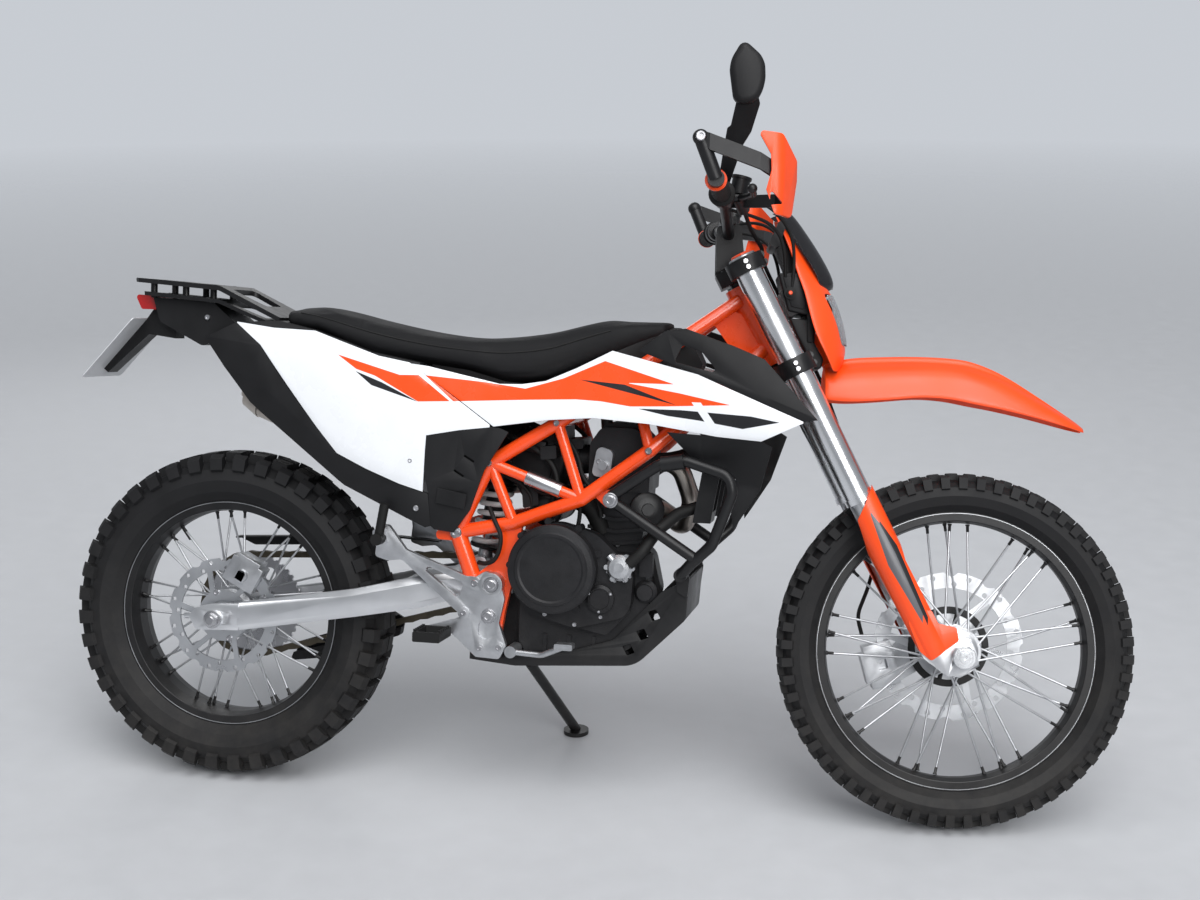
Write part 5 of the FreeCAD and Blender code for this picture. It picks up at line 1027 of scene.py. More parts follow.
# %% Wheel places
FORK_DROP, AXLE_AHEAD = -641.3, 66.0
AHEAD_OF_AXIS = Vector((math.cos(RAKE), 0, math.sin(RAKE)))
FRONT_AXLE = HEAD + STEER_AXIS * FORK_DROP + AHEAD_OF_AXIS * AXLE_AHEAD
WHEELS = {
    "front": {"axle": FRONT_AXLE, "place": STEERED, "body": "front_wheel", "rim": 275.0, "bed": 252.0, "half": 27.0,
              "flange": 50.0},
    "rear": {"axle": REAR_AXLE, "place": UPRIGHT, "body": "rear_wheel", "rim": 238.0, "bed": 214.6, "half": 48.0,
             "flange": 56.0},
}
print("front axle", [round(v, 1) for v in FRONT_AXLE])


# %% Spoke nipples, rim lines and valves
SPOKES_A_SIDE, SPOKE_CROSS, VALVE_AT = 18, 26, 2.2


def spoke_ends(wheel):
    """The rim end and the direction of each spoke, on both sides."""
    for side in (-1, 1):
        for i in range(SPOKES_A_SIDE):
            root = math.radians(20 * i + (10 if side > 0 else 0))
            tip = root + math.radians(SPOKE_CROSS if i % 2 else -SPOKE_CROSS)
            foot = wheel["flange"] - 4
            start = Vector((foot * math.cos(root), side * (31 if i % 2 else 28), foot * math.sin(root)))
            end_r = wheel["bed"] - 1.2
            end = Vector((end_r * math.cos(tip), side * 5, end_r * math.sin(tip)))
            yield end + wheel["axle"], (end - start).normalized()


nipple = pattern(turn_part("nipple", [(0, -15), (2.8, -15), (3.1, -13), (3.1, -4), (4.4, -2), (4.4, 0), (0, 0)],
                           Vector(), (0, 0, 1), steps=8))
for label, wheel in WHEELS.items():
    nipples = put_together(label + "_nipples", [copy_of(nipple, end, way) for end, way in spoke_ends(wheel)])
    settle(nipples, "black_metal", wheel["body"], place=wheel["place"])
    rings = []
    for side in (-1, 1):
        deselect()
        bpy.ops.mesh.primitive_torus_add(major_radius=wheel["rim"] - 2.6, minor_radius=0.9, major_segments=96,
                                         minor_segments=6)
        ring = bpy.context.object
        beside = wheel["axle"] + Vector((0, side * (wheel["half"] + 0.2), 0))
        ring.data.transform(Matrix.Translation(beside) @ aim((0, 1, 0)))
        rings.append(ring)
    rim_lines = put_together(label + "_rim_lines", rings)
    settle(rim_lines, "cast_alloy", wheel["body"], place=wheel["place"])
    valve_at = wheel["axle"] + Vector((wheel["bed"] * math.cos(VALVE_AT), -6, wheel["bed"] * math.sin(VALVE_AT)))
    inward = (wheel["axle"] - valve_at).normalized()
    valve = rod(label + "_valve", valve_at - inward * 3, valve_at + inward * 34, 3.6, sides=12)
    settle(valve, "rubber", wheel["body"], place=wheel["place"])

# %% [markdown]
# ## Screws and bolts
# A motorcycle is held together with socket screws whose heads show on every side. One head is turned on the lathe,
# with a chamfer and its socket, and copies of it are set on the machine. Where a screw of the engine, the frame or a
# cover sits is given in the side view, and a ray finds the surface under it. The screws of the clamps, the hand guards
# and the discs are set by the sizes of the parts that they hold.

# %% Screw head
HEADS = {}


def screw_head(radius, at, direction):
    """A copy of the screw head of one size, stood at a place."""
    if radius not in HEADS:
        high = radius * 0.75
        half = [(0, -1.5), (radius, -1.5), (radius, high * 0.75), (radius * 0.86, high), (radius * 0.55, high),
                (radius * 0.52, high * 0.35), (0, high * 0.35)]
        HEADS[radius] = pattern(turn_part("head", half, Vector(), (0, 0, 1), steps=14))
    return copy_of(HEADS[radius], at, direction)


# %% Finding the surface
def surface_of(nodes):
    """The triangles of some of the frame's parts, ready for rays."""
    places, faces = [], []
    for node in nodes:
        obj = frame["nodes"][node]
        first = len(places)
        places += [obj.matrix_world @ v.co for v in obj.data.vertices]
        faces += [[first + i for i in face.vertices] for face in obj.data.polygons]
    return BVHTree.FromPolygons(places, faces)


def seat_on(surface, place, x, z, side):
    """Where a line across the machine first meets a surface, and which way it looks there, or None if it misses."""
    outside = place @ Vector((x, side * 520, z))
    inwards = (place.to_3x3() @ Vector((0, -side, 0))).normalized()
    hit, normal, _, _ = surface.ray_cast(outside, inwards, 1.2)
    if hit is None:
        return None
    if normal.dot(inwards) > 0:
        normal = -normal
    return place.inverted() @ hit, (place.inverted().to_3x3() @ normal).normalized()


def screws(name, spots, nodes, side=-1, straight_on=False):
    """Screw heads at side-view places (x, z, radius) on the named parts."""
    surface = surface_of(nodes)
    heads = []
    for x, z, radius in spots:
        found = seat_on(surface, UPRIGHT, x, z, side)
        if found is None:
            print("no surface for a screw of", name, "at", x, z)
            continue
        spot, normal = found
        if straight_on or abs(normal.y) < 0.6:
            normal = Vector((0, side, 0))
        heads.append(screw_head(radius, spot, normal))
    settle(put_together(name, heads), "steel", "chassis")


def ring_of(x, z, radius, count, size, start):
    """Places evenly round a circle in the side view."""
    turns = [math.tau * i / count + start for i in range(count)]
    return [(x + radius * math.cos(turn), z + radius * math.sin(turn), size) for turn in turns]


# %% Screws on engine, frame and covers
ENGINE = ["engine_block", "engine_covers", "cylinder", "engine_fittings"]
COVER_SCREWS = [(650, 430, 4.5), (700, 396, 4.5), (760, 378, 4.5), (812, 396, 4), (838, 470, 4), (868, 480, 4),
                (872, 520, 4), (830, 532, 4), (648, 505, 4.5)]
FRAME_BOLTS = [(577, 691, 7), (712, 776, 6), (897, 729, 7)]
BRACKET_BOLTS = [(555, 449, 7), (534, 388, 6), (608, 322, 6), (568, 318, 5)]
screws("cover_screws", COVER_SCREWS, ENGINE)
screws("pump_screws", ring_of(811, 433, 24, 3, 3.0, 0.5) + ring_of(848, 497, 27, 4, 3.0, 0.4), ENGINE)
screws("cylinder_screws", [(790, 700, 5), (815, 640, 5), (800, 590, 4)], ENGINE)
screws("frame_bolts", FRAME_BOLTS, ["trellis_right", "head_frame"], straight_on=True)
screws("frame_bolts_left", FRAME_BOLTS, ["trellis_left", "head_frame"], side=1, straight_on=True)
screws("bracket_bolts", BRACKET_BOLTS, ["peg_brackets"], straight_on=True)
screws("bracket_bolts_left", BRACKET_BOLTS, ["peg_brackets"], side=1, straight_on=True)
screws("cover_bolts", [(433, 595, 6), (420, 690, 4.5)], ["vented_covers", "fuel_tank", "side_panels"])
screws("left_case_screws", ring_of(785, 440, 74, 8, 4.2, 0.3), ENGINE, side=1)
screws("tail_screws", [(-53, 962, 6)], ["tail_housing", "fuel_tank", "luggage_rack"])

# %% [markdown]
# ## Fork
# On top of each fork leg sits a silver ring with an orange adjuster. The two clamps are pinched by pairs of silver
# screws, and a black wiper seals the top of the slider.

# %% Fork caps and pinch screws
LEG_AHEAD, LEG_OUT, CLAMP_HALF = 22, 100, 39.5
TUBE_TOP, UPPER_CLAMP, PINCH_STEP = 232.0, 218, 6


def on_leg(rise, side):
    """A place on a fork leg's middle line, at a height along the steering axis."""
    return HEAD + STEER_AXIS * rise + AHEAD_OF_AXIS * LEG_AHEAD + Vector((0, side * LEG_OUT, 0))


RING_LINE = [(0, 0), (27, 0), (27.5, 1), (27.5, 5), (26, 6.5), (22, 6.5), (0, 6.5)]
CAP_LINE = [(0, 6), (21, 6), (21, 10), (19.5, 11.5), (9, 11.5), (9, 8.5), (5, 8.5), (5, 11), (0, 11)]
rings = [turn_part("ring", RING_LINE, on_leg(TUBE_TOP, side), STEER_AXIS) for side in (-1, 1)]
caps = [turn_part("cap", CAP_LINE, on_leg(TUBE_TOP, side), STEER_AXIS) for side in (-1, 1)]
settle(put_together("fork_rings", rings), "cast_alloy", "steering", place=STEERED)
settle(put_together("fork_caps", caps), "orange_paint", "steering", place=STEERED)
pinch = []
for side in (-1, 1):
    for rise in (PINCH_STEP, -PINCH_STEP):
        for height in (UPPER_CLAMP + rise, rise):
            pinch.append(screw_head(5, on_leg(height, side) + Vector((0, side * CLAMP_HALF, 0)), (0.25, side, 0)))
settle(put_together("clamp_screws", pinch), "steel", "steering", place=STEERED)

# %% [markdown]
# ## Grips
# A rubber grip is ribbed along its length so that a wet glove holds. Its outline is one line of small steps, turned
# about the bar.

# %% Ribbed grips
BAR_BEND, BAR_END = Vector((-134, 230, 312)), Vector((-154, 408, 318))
GRIP_LONG, RIBS, RIB_STEP = 130, 15, 7.5


def bar_end(side):
    """The bar's end on one side, and the way that the bar points there."""
    turned_over = Vector((1, side, 1))
    return HEAD + BAR_END * turned_over, ((BAR_END - BAR_BEND) * turned_over).normalized()


grip_line = [(0, 0), (24, 0), (25, 1.5), (24, 5), (17.5, 7)]
for i in range(RIBS):
    foot = 9 + RIB_STEP * i
    grip_line += [(16.2, foot), (16.2, foot + 2.2), (17.6, foot + 2.9), (17.6, foot + 6.6)]
grip_line += [(18.5, 122), (19, 123.5), (18.5, 126), (0, 126)]
grip_parts, guard_parts, orange_rings = [], [], []
for side in (-1, 1):
    end, way = bar_end(side)
    grip_parts.append(turn_part("grip", grip_line, end - way * GRIP_LONG, way, steps=28))
    orange_rings.append(turn_part("ring", [(13, -5), (19.5, -5), (20, -4), (20, -1), (19.5, 0), (13, 0)], end, way))
    guard_parts.append(screw_head(9, end + Vector((-30, side * 34.5, 70)), (0, side, 0)))
settle(put_together("ribbed_grips", grip_parts), "rubber", "steering", ["grips"], place=STEERED, smooth=25)
settle(put_together("guard_bolts", guard_parts), "steel", "steering", place=STEERED)
settle(put_together("grip_rings", orange_rings), "orange_paint", "steering", place=STEERED)

# %% [markdown]
# ## Axles and discs
# Each axle ends in a big silver nut or head with a washer. The discs are held to their carriers by buttons.

# %% Axle ends
def axle_end(name, at, side, nut):
    """A washer, a hexagon and the axle's own end, at the rear axle."""
    out = (0, side, 0)
    washer = turn_part("washer", [(7, 0), (nut * 1.25, 0), (nut * 1.25, 2), (nut * 1.15, 2.6), (7, 2.6)], at, out)
    deselect()
    bpy.ops.mesh.primitive_cylinder_add(vertices=6, radius=nut, depth=nut * 0.7)
    hexagon = bpy.context.object
    ease(hexagon, nut * 0.08, 2, 30)
    hexagon.data.transform(Matrix.Translation(at + Vector(out) * (2.6 + nut * 0.35)) @ aim(out))
    stub_line = [(0, 0), (nut * 0.6, 0), (nut * 0.6, nut * 0.95), (nut * 0.5, nut * 1.05), (0, nut * 1.05)]
    stub = turn_part("stub", stub_line, at, out, steps=20)
    settle(put_together(name, [washer, hexagon, stub]), "steel", "chassis")


for side, name in ((-1, "rear_axle_nut"), (1, "rear_axle_head")):
    spot, _ = seat_on(surface_of(["swingarm"]), UPRIGHT, REAR_AXLE.x, REAR_AXLE.z, side)
    axle_end(name, spot, side, 15)

# %% Disc buttons
FRONT_DISC_Y, REAR_DISC_Y, BUTTON_START = 66, -76, 0.3
for label, disc_y, carrier_r, count in (("front", FRONT_DISC_Y, 62, 6), ("rear", REAR_DISC_Y, 50, 4)):
    wheel = WHEELS[label]
    side = 1 if disc_y > 0 else -1
    spots = ring_of(0, 0, carrier_r, count, 6, BUTTON_START)
    face = wheel["axle"] + Vector((0, disc_y + side * 3, 0))
    buttons = [screw_head(size, face + Vector((x, 0, z)), (0, side, 0)) for x, z, size in spots]
    settle(put_together(label + "_disc_screws", buttons), "steel", wheel["body"], place=wheel["place"])

# %% [markdown]
# ## Smoked screen
# Above the lamp a small dark screen stands a little proud of the orange mask. It is one curved sheet: its middle
# line is drawn in the side view, and each section bends back towards its edges.

# %% Smoked screen
SCREEN_MIDDLE = [(-6, 326), (8, 322), (34, 288), (68, 241), (99, 187), (94, 172)]
SCREEN_HALF = [30, 40, 48, 53, 50, 40]
SCREEN_BEND, SCREEN_BACK, SCREEN_DROP, SCREEN_STEPS = 1.35, 30, 0.32, 8


def screen_section(middle, half):
    """Half of a line across the screen, bent back towards its edge."""
    line = []
    for n in range(SCREEN_STEPS + 1):
        part = n / SCREEN_STEPS
        back = SCREEN_BACK * (1 - math.cos(part * SCREEN_BEND)) / (1 - math.cos(SCREEN_BEND))
        line.append((HEAD.x + middle[0] - back, half * part, HEAD.z + middle[1] - back * SCREEN_DROP))
    return line


screen_lines = [screen_section(middle, half) for middle, half in zip(SCREEN_MIDDLE, SCREEN_HALF)]
screen = half_shell("smoked_screen_sheet", screen_lines, 3, (1, 0.2, 0.5), 2)
settle(screen, "smoked_screen", "steering", ["windshield"], place=STEERED, smooth=60)

# %% [markdown]
# ## Mirror
# The mirror's shell is a kite with soft corners, thicker in its middle, and it carries the glass on its inner face.
# Its stalk is a wide flat arm with a step where it turns down to the bar.

# %% Mirror
MIRROR_EDGE = [(-115, 574), (-75, 540), (-72, 494), (-88, 460), (-127, 457), (-139, 530)]


def at_head(places):
    """Side-view places that are measured from the steering head."""
    return [(HEAD.x + x, HEAD.z + z) for x, z in places]


mirror_case = slab("mirror_shell", at_head(MIRROR_EDGE), -390, -374)
edit(mirror_case)
choose(mirror_case, lambda middle, edge: abs(edge.verts[0].co.y - edge.verts[1].co.y) > 1, "EDGE")
bpy.ops.mesh.bevel(offset=16, segments=5, affect="EDGES")
choose(mirror_case, lambda middle, normal: normal.y < -0.9)
bpy.ops.mesh.inset(thickness=5)
bpy.ops.transform.translate(value=(0, -5, 0))
bpy.ops.mesh.inset(thickness=6)
bpy.ops.transform.translate(value=(0, -2.5, 0))
leave()
ease(mirror_case, 2.0, 3, 25)

# %% Mirror stalk and glass
STALK = [(-122, 468), (-84, 474), (-80, 462), (-92, 420), (-106, 398), (-128, 330), (-148, 330), (-140, 396),
         (-136, 424), (-130, 428)]
STALK_FOOT, STALK_HIGH, STALK_Y, STALK_REACH = 330, 140, -244, -134
arm = slab("mirror_arm", at_head(STALK), -5, 5, 1.6, 2)
for vertex in arm.data.vertices:
    rise = min(1.0, max(0.0, (vertex.co.z - HEAD.z - STALK_FOOT) / STALK_HIGH))
    vertex.co.y += STALK_Y + STALK_REACH * rise
clamp = turn_part("mirror_clamp", [(11.5, -12), (19, -12), (20, -11), (20, 11), (19, 12), (11.5, 12), (11.5, -12)],
                  HEAD + Vector((-135, -240, 313)), (-0.1, -1, 0.03), steps=24)
settle(put_together("mirror_body", [mirror_case, arm, clamp]), "black_plastic", "steering",
       ["mirror"], place=STEERED)
finish("mirror_glass", (0.75, 0.77, 0.80), 0.04, metal=1.0, scale=200.0, bump=0.0, vary=0.02)
GLASS_MIDDLE, GLASS_PART = Vector((-106, 512)), 0.88
glass_edge = at_head([GLASS_MIDDLE + (Vector(place) - GLASS_MIDDLE) * GLASS_PART for place in MIRROR_EDGE])
glass = slab("mirror_glass", glass_edge, -374.4, -373.2)
settle(glass, "mirror_glass", "steering", place=STEERED)

# %% [markdown]
# ## Front hub and carrier
# The front disc hangs on a black ring with small lobes, and on the machine's right the axle ends in a wide silver
# head with fine rings turned into it.

# %% Disc carrier and axle head
disc_middle = FRONT_AXLE + Vector((0, FRONT_DISC_Y, 0))
carrier_line = [(68, -4.5), (80, -4.5), (81, -3.5), (81, 3.5), (80, 4.5), (68, 4.5), (67, 3.5), (67, -3.5),
                (68, -4.5)]
arms = [turn_part("front_carrier", carrier_line, disc_middle, (0, 1, 0), steps=64)]
for x, z, size in ring_of(0, 0, 1, 6, 5, BUTTON_START):
    way = Vector((x, 0, z))
    arms.append(rod("arm", disc_middle + way * 46, disc_middle + way * 70, size, sides=12))
settle(put_together("front_carrier", arms), "black_metal", "front_wheel", place=STEERED)
spot, _ = seat_on(surface_of(["fork_lowers"]), STEERED, FRONT_AXLE.x, FRONT_AXLE.z, -1)
axle_head = turn_part("front_axle_head", [(0, -2), (20, -2), (22, 0), (22, 4), (20.5, 5.5), (16, 5.5), (15, 4.2),
                                          (11, 4.2), (10, 6.5), (4, 6.5), (4, 3), (0, 3)], spot, (0, -1, 0))
settle(axle_head, "fork_alloy", "steering", place=STEERED)

# %% [markdown]
# ## Lamp mask
# The orange mask is one curved shell round the lamp. Section lines bend back from its middle to its edges and are
# swept from its foot to its top, the faces in the lamp's opening are deleted, and Solidify gives it a wall. Behind
# the clear lens sit a chrome bowl with its bulb and a black back plate.

# %% Lamp mask
MASK_ROWS = [(5, 96, 110, 78), (34, 82, 124, 88), (60, 66, 124, 93), (84, 55, 120, 95), (110, 47, 113, 90),
             (136, 40, 104, 82), (160, 34, 93, 74), (182, 25, 78, 68), (204, 17, 60, 62), (241, 5, 34, 54),
             (281, -12, 0, 46), (311, -26, -16, 40)]
LAMP_LOW, LAMP_TOP, LAMP_HALF = 60, 160, 54


def mask_section(row, inner=0.0, proud=0.0):
    """Half of a section line of the mask, from its middle to its edge, or to the lamp's edge only."""
    z, back, front, half = row
    bend = min(LAMP_HALF, half * 0.72)
    across = [0, bend / 3, bend * 2 / 3, bend]
    if inner:
        across = [v * inner for v in across]
    else:
        across += [bend + (half - bend) * part for part in (0.35, 0.65, 0.88, 1.0)]
    line = []
    for y in across:
        depth = max(0.0, 1 - (y / half) ** 2.4) ** 0.7
        line.append((HEAD.x + back + (front - back) * depth + proud, y, HEAD.z + z))
    return line


def in_lamp(middle, normal):
    return LAMP_LOW < middle.z - HEAD.z < LAMP_TOP and middle.y < LAMP_HALF


MASK_OUTWARDS = (1, 0.25, 0.2)
mask = half_shell("lamp_mask", [mask_section(row) for row in MASK_ROWS], 3.5, MASK_OUTWARDS, 2, in_lamp)
settle(mask, "orange_plastic", "steering", ["headlight_mask"], place=STEERED, smooth=40)

# %% Lens, bowl and bulb
lens_rows = [mask_section(row, inner=1.02, proud=3.5) for row in MASK_ROWS if LAMP_LOW <= row[0] <= LAMP_TOP]
lens = half_shell("lamp_lens", lens_rows, 3.0, MASK_OUTWARDS, 2)
settle(lens, "clear_lens", "steering", ["headlight"], place=STEERED, smooth=60)
lamp_at = HEAD + Vector((58, 0, 110))
finish("chrome", (0.82, 0.83, 0.85), 0.10, metal=1.0, skin="brushed", scale=60.0, bump=0.02, vary=0.04)
bowl_line = [(9, 0), (16, 3), (30, 14), (38, 24), (43, 34), (45, 34), (40, 23), (31, 11), (17, 0), (9, -4), (9, 0)]
bowl = turn_part("lamp_bowl", bowl_line, lamp_at, (1, 0, 0), steps=48)
bulb = turn_part("bulb", [(0, -2), (6, -2), (6, 16), (4.5, 21), (2, 23), (0, 23)], lamp_at, (1, 0, 0), steps=20)
settle(put_together("lamp_bowl", [bowl, bulb]), "chrome", "steering", place=STEERED, smooth=50)

# %% [markdown]
# ## Behind the lamp
# Between the fork and the mask the wiring is kept in a black box with a round switch on its side, and a bracket holds
# the lamp from below. Black cables run from the bar down to the box.

# %% Wiring box and cables
box = slab("wiring_box", at_head([(-18, 196), (32, 200), (50, 134), (48, 114), (4, 122)]), -56, 56, 4, 3)
cover = slab("box_cover", at_head([(-8, 188), (24, 190), (38, 140), (36, 126), (10, 131)]), -58.5, 58.5, 1.5, 2)
holder_edge = at_head([(8, 108), (46, 108), (60, 60), (78, 30), (74, 12), (60, 10), (22, 78)])
holder = slab("lamp_holder", holder_edge, -52, 52, 4, 3)
plate = slab("lamp_plate", at_head([(44, 62), (56, 62), (50, 158), (40, 158)]), -56, 56, 2, 2)
settle(put_together("wiring_box", [box, cover, holder, plate]), "black_plastic", "steering",
       place=STEERED)

# %% Box switch and bar cables
knob_at = HEAD + Vector((7, -58, 157))
knob_line = [(0, 0), (11, 0), (12, 1), (12, 5), (8, 5.5), (8, 9), (6, 10), (0, 10)]
knob = turn_part("box_switch", knob_line, knob_at, (0, -1, 0))
settle(knob, "rubber", "steering", place=STEERED)
dot = turn_part("switch_dot", [(0, 9), (4, 9), (4, 11), (3, 12), (0, 12)], knob_at, (0, -1, 0), steps=16)
settle(dot, "orange_paint", "steering", place=STEERED)
CABLES = [[(-128, -196, 306), (-96, -168, 322), (-40, -120, 318), (4, -84, 274), (14, -62, 214), (10, -56, 170)],
          [(-130, -186, 300), (-84, -150, 296), (-30, -104, 282), (-6, -74, 240), (-4, -56, 190)],
          [(-128, 196, 306), (-96, 168, 322), (-40, 120, 318), (4, 84, 274), (14, 62, 214), (10, 56, 170)],
          [(-130, 186, 300), (-90, 140, 300), (-40, 90, 280), (-14, 60, 236), (-8, 50, 190)]]
CABLE_R = 3.4
cables = [tube("cable", [HEAD + Vector(place) for place in places], CABLE_R) for places in CABLES]
settle(put_together("bar_cables", cables), "rubber", "steering", place=STEERED, smooth=60)

# %% [markdown]
# ## Inside the frame
# The triangle between the frame tubes is full: the throttle body with its rubber boots feeds the cylinder, a starter
# motor lies above the crankcase, and wiring and hoses run past them. These are turned and swept like the rest.

# %% Throttle body and intake boots
intake_at, intake_way = Vector((622, 0, 706)), Vector((0.97, 0, -0.24)).normalized()
throttle_line = [(0, 38), (36, 38), (40, 40), (40, 50), (35, 52), (35, 84), (40, 86), (40, 96), (0, 96)]
throttle = turn_part("throttle_body", throttle_line, intake_at, intake_way)
wheel_at = intake_at + intake_way * 66
pulley_line = [(0, 30), (24, 30), (25, 31), (25, 44), (23, 45), (19, 45), (18, 40), (8, 40), (8, 50), (0, 50)]
pulley = turn_part("pulley", pulley_line, wheel_at, (0, -1, 0))
sensor_line = [(0, 30), (20, 30), (21, 31), (21, 46), (19, 48), (10, 48), (0, 48)]
sensor = turn_part("sensor", sensor_line, wheel_at, (0, 1, 0))
settle(put_together("throttle_body", [throttle, pulley, sensor]), "engine_black", "chassis")
BOOT_RIBS, BOOT_STEP = 5, 9
boot_line = [(0, -10)]
for i in range(BOOT_RIBS):
    foot = BOOT_STEP * i
    boot_line += [(50, -10 + foot), (54, -8 + foot), (54, -5 + foot), (50, -3 + foot)]
boot = turn_part("intake_boot", boot_line + [(42, 42), (0, 42)], intake_at, intake_way)
neck_line = [(0, 94), (38, 94), (40, 98), (40, 104), (36, 108), (36, 122), (0, 122)]
neck = turn_part("neck", neck_line, intake_at, intake_way)
settle(put_together("intake_boots", [boot, neck]), "rubber", "chassis")

# %% Starter motor and battery bay
motor_line = [(0, -86), (22, -86), (29, -82), (31, -78), (31, -64), (29.5, -63), (29.5, 60), (31, 61), (31, 76),
              (25, 82), (0, 82)]
motor = turn_part("starter_motor", motor_line, Vector((686, 0, 596)), (0, 1, 0))
BAY_EDGE = [(600, 742), (604, 664), (628, 620), (668, 612), (700, 640), (716, 690), (712, 770), (650, 764)]
LID_EDGE = [(612, 730), (616, 676), (636, 640), (662, 634), (684, 654), (694, 694), (692, 752), (652, 748)]
bay = slab("battery_bay", BAY_EDGE, -58, 58, 8, 3)
lid = slab("battery_lid", LID_EDGE, -62, 62, 2, 2)
block = slab("fuse_block", [(640, 716), (676, 708), (682, 734), (646, 742)], -84, 84, 2.5, 2)
settle(put_together("battery_bay", [motor, bay, lid, block]), "black_plastic", "chassis")

# %% Looms and elbows
LOOMS = [
    (6.0, [(596, -66, 748), (612, -84, 738), (650, -94, 728), (694, -92, 700), (712, -94, 660), (700, -92, 612),
           (688, -86, 592)]),
    (4.5, [(600, -76, 690), (630, -90, 676), (664, -96, 640), (690, -94, 628), (740, -92, 640), (760, -86, 610),
           (752, -84, 570)]),
    (4.5, [(690, -70, 772), (724, -86, 748), (752, -92, 706), (758, -92, 668), (790, -92, 636), (800, -88, 590)]),
    (3.5, [(606, -70, 720), (586, -92, 700), (598, -98, 664), (640, -96, 650), (664, -90, 612), (650, -84, 574)]),
    (4.5, [(576, -112, 600), (592, -132, 576), (610, -138, 546), (600, -136, 500), (574, -124, 486),
           (556, -110, 488)]),
]
BOTH_SIDES, ELBOW_R = 4, 19
looms = [tube("loom", places, radius) for radius, places in LOOMS]
looms += [tube("loom", [(x, -y, z) for x, y, z in places], radius) for radius, places in LOOMS[:BOTH_SIDES]]
for side in (-1, 1):
    elbow = [(730, side * 50, 622), (764, side * 58, 612), (786, side * 58, 590), (796, side * 52, 556)]
    looms.append(tube("elbow", elbow, ELBOW_R, sides=6))
settle(put_together("frame_looms", looms), "rubber", "chassis", smooth=60)

# %% Horn and coil
horn_line = [(0, 0), (31, 0), (35, 3), (35, 13), (31, 16), (13, 17), (12, 21), (0, 21)]
horn = turn_part("horn", horn_line, Vector((884, -52, 606)), (0.35, -1, 0.05))
coil_pack = slab("coil_pack", [(846, 700), (882, 706), (886, 664), (850, 656)], -60, 60, 4, 3)
settle(put_together("horn", [horn, coil_pack]), "black_metal", "chassis")

# %% [markdown]
# ## Large bolts and sleeves
# The crash bars, the footrest brackets and the swingarm hang on large silver bolts with a stepped head, and one frame
# strut on each side carries a silver sleeve. The clutch cover is a smooth dome with a raised ring.

# %% Large bolts
BIG_BOLTS = [(832, 633, 15, ["crash_bars", "trellis_right", "trellis_left"]), (589, 448, 15, ["peg_brackets"]),
             (584, 383, 15, ["peg_brackets"]), (512, 548, 12, ["trellis_right", "trellis_left", "head_frame"])]
heads = []
for x, z, size, nodes in BIG_BOLTS:
    half = [(0, -4), (size, -4), (size, 1), (size - 1.5, 2.5), (size * 0.7, 2.5), (size * 0.7, 7), (size * 0.58, 8.5),
            (size * 0.36, 8.5), (size * 0.32, 4), (0, 4)]
    bolt = pattern(turn_part("bolt", half, Vector(), (0, 0, 1), steps=24))
    for side in (-1, 1):
        found = seat_on(surface_of(nodes), UPRIGHT, x, z, side)
        if found:
            heads.append(copy_of(bolt, found[0], (0, side, 0)))
print("large bolts", len(heads))
settle(put_together("large_bolts", heads), "steel", "chassis")

# %% Strut sleeves and clutch dome
SLEEVE_FROM, SLEEVE_TO, SLEEVE_R = 0.40, 0.78, 15.2
sleeves = []
for side in (-1, 1):
    top, low = Vector((577, side * 117, 691)), Vector((765, side * 123, 627))
    sleeves.append(rod("sleeve", top.lerp(low, SLEEVE_FROM), top.lerp(low, SLEEVE_TO), SLEEVE_R, 24, 1.2))
settle(put_together("strut_sleeves", sleeves), "steel", "chassis")
spot, _ = seat_on(surface_of(ENGINE), UPRIGHT, 717, 490, -1)
dome_line = [(0, 8), (40, 7.6), (62, 6.6), (66, 8.2), (71, 8.0), (74, 5.2), (84, 3.0), (88, -1), (88, -16), (0, -16)]
dome = turn_part("clutch_dome", dome_line, spot, (0, -1, 0), steps=64)
settle(dome, "engine_black", "chassis", smooth=24)

# %% [markdown]
# ## Behind the vents
# The vented covers have slits, and each slit gets a small dark plate just behind it. The plate is partly the black
# inside of the bodywork and partly painted shade: a dark sheet that stands for the shadow that fills the slits.

# %% Vent plates
VENTS, VENT_DEEP = ((540, 700), (520, 670), (508, 620)), 9
vents = []
covers = surface_of(["vented_covers"])
for side in (-1, 1):
    for x, z in VENTS:
        found = seat_on(covers, UPRIGHT, x + 26, z + 12, side) or seat_on(covers, UPRIGHT, x - 26, z - 12, side)
        if found:
            y = found[0].y - side * VENT_DEEP
            edge = [(x - 34, z - 12), (x + 26, z - 22), (x + 30, z + 8), (x - 30, z + 18)]
            # Painted shade in part: a dark plate that stands for the shadow inside this slit as well as the black
            # parts behind it.
            vents.append(slab("vent", edge, y, y - side * 2, 0.5, 1))
print("vent plates", len(vents))
settle(put_together("vent_shade_plates", vents), "black_plastic", "chassis")

# %% [markdown]
# ## Seams and small rings
# The seat's cover is sewn where its top meets its sides. The seam is a thin welt that follows the swelled pad: rays
# from the side find the pad's surface, so the welt lies on it. At the tail an orange ring marks each lashing point.

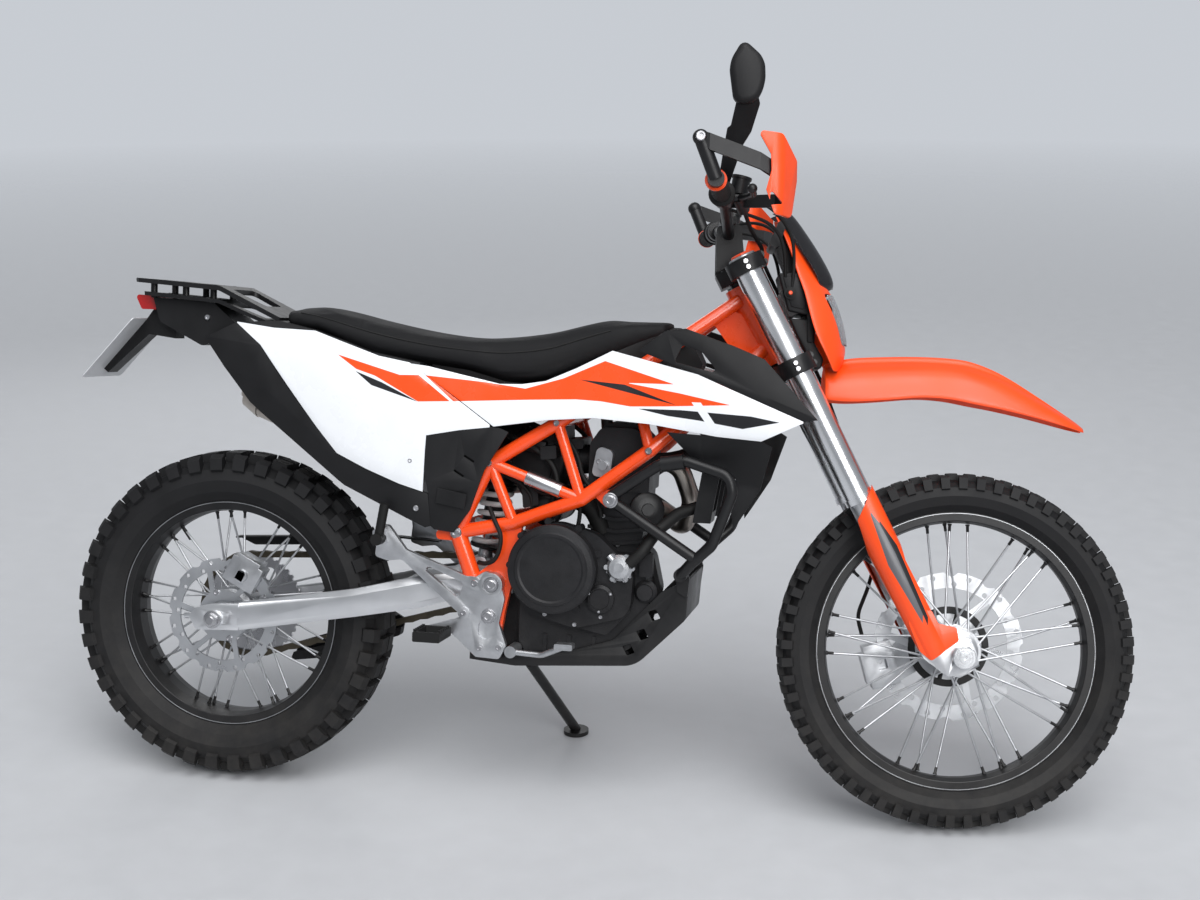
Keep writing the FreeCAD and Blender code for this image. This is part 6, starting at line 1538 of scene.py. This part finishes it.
# %% Seams and small rings
SEAM_HIGH, SEAM_R, SEAM_PROUD = 0.7, 1.6, 0.3
pad_faces = [list(face.vertices) for face in seat_pad.data.polygons]
pad_surface = BVHTree.FromPolygons([v.co for v in seat_pad.data.vertices], pad_faces)
seams = []
for side in (-1, 1):
    places = []
    for x in range(160, 832, 28):
        low, top = through(SEAT_LINE["low"], x), through(SEAT_LINE["top"], x)
        found = seat_on(pad_surface, UPRIGHT, x, low + (top - low) * SEAM_HIGH, side)
        if found:
            places.append(found[0] + found[1] * SEAM_PROUD)
    seams.append(tube("seam", places, SEAM_R))
settle(put_together("seat_seams", seams), "rubber", "chassis", smooth=60)
LASHING_LINE = [(8, 0), (16, 0), (17, 1), (17, 4), (16, 5), (9, 5), (8, 4), (8, 0)]
lashing = [turn_part("ring", LASHING_LINE, Vector((113, side * 62, 936)), (0, side * 0.3, 1), steps=28)
           for side in (-1, 1)]
settle(put_together("lashing_rings", lashing), "orange_paint", "chassis")

# %% [markdown]
# ## Floor and light
# A photographer would put the machine on a plain pale floor and light it with big soft boxes: one wide box overhead,
# one large and low on the camera's side, and one from the back to lift the edges off the background. The floor fades
# out far from the machine, so that no hard line of a horizon cuts the picture.

# %% Floor
deselect()
FLOOR_SIZE, FADE_FROM, FADE_TO = 400, 5.0, 20.0
bpy.ops.mesh.primitive_plane_add(size=FLOOR_SIZE, location=(0, 0, -0.0005))
floor = bpy.context.object
floor.name = "floor"
bpy.ops.object.transform_apply(location=True, rotation=True, scale=True)
finish("floor_grey", (0.52, 0.53, 0.55), 0.55, scale=30.0, bump=0.02, vary=0.03)
fade = FINISH["floor_grey"].node_tree
away = fade.nodes.new("ShaderNodeVectorMath")
away.operation = "LENGTH"
fade.links.new(on_object(fade), away.inputs[0])
seen_part = remap(fade, away.outputs["Value"], FADE_FROM, FADE_TO, 1.0, 0.0)
fade.links.new(seen_part, fade.nodes["Principled BSDF"].inputs["Alpha"])
floor.data.materials.append(FINISH["floor_grey"])

# %% Light
def soft_box(name, place, target, width, height, power):
    lamp = bpy.data.lights.new(name, "AREA")
    lamp.shape = "RECTANGLE"
    lamp.size = width
    lamp.size_y = height
    lamp.energy = power
    obj = bpy.data.objects.new(name, lamp)
    bpy.context.scene.collection.objects.link(obj)
    obj.location = place
    obj.rotation_euler = (Vector(target) - Vector(place)).to_track_quat("-Z", "Y").to_euler()


soft_box("box_top", (0.4, -0.8, 4.0), (0, 0, 0.5), 4.0, 2.6, 45)
soft_box("box_side", (2.6, -4.2, 2.4), (0.2, 0, 0.6), 2.4, 1.6, 85)
soft_box("box_back", (-1.8, 4.0, 2.8), (0, 0, 0.7), 3.0, 1.6, 30)
sun = bpy.data.lights.new("even_light", "SUN")
sun.energy = 2.1
sun.angle = math.radians(50)
even_light = bpy.data.objects.new("even_light", sun)
bpy.context.scene.collection.objects.link(even_light)
even_light.rotation_euler = (math.radians(38), 0, math.radians(20))

# %% [markdown]
# ## Background
# The walls of a studio are bright to the camera, but they would wash out the dark plastics if they lit them as
# strongly, so the background is bright for what the camera sees directly and dimmer for what lights the machine.

# %% Background
world = bpy.data.worlds.new("studio")
world.use_nodes = True
studio = world.node_tree
studio.nodes["Background"].inputs["Color"].default_value = (0.80, 0.84, 0.90, 1)
seen = studio.nodes.new("ShaderNodeLightPath").outputs["Is Camera Ray"]
LIGHT_GIVEN, LIGHT_SEEN = 0.34, 0.72
strength = remap(studio, seen, 0.0, 1.0, LIGHT_GIVEN, LIGHT_SEEN)
studio.links.new(strength, studio.nodes["Background"].inputs["Strength"])
bpy.context.scene.world = world
bpy.context.scene.view_settings.view_transform = "Standard"
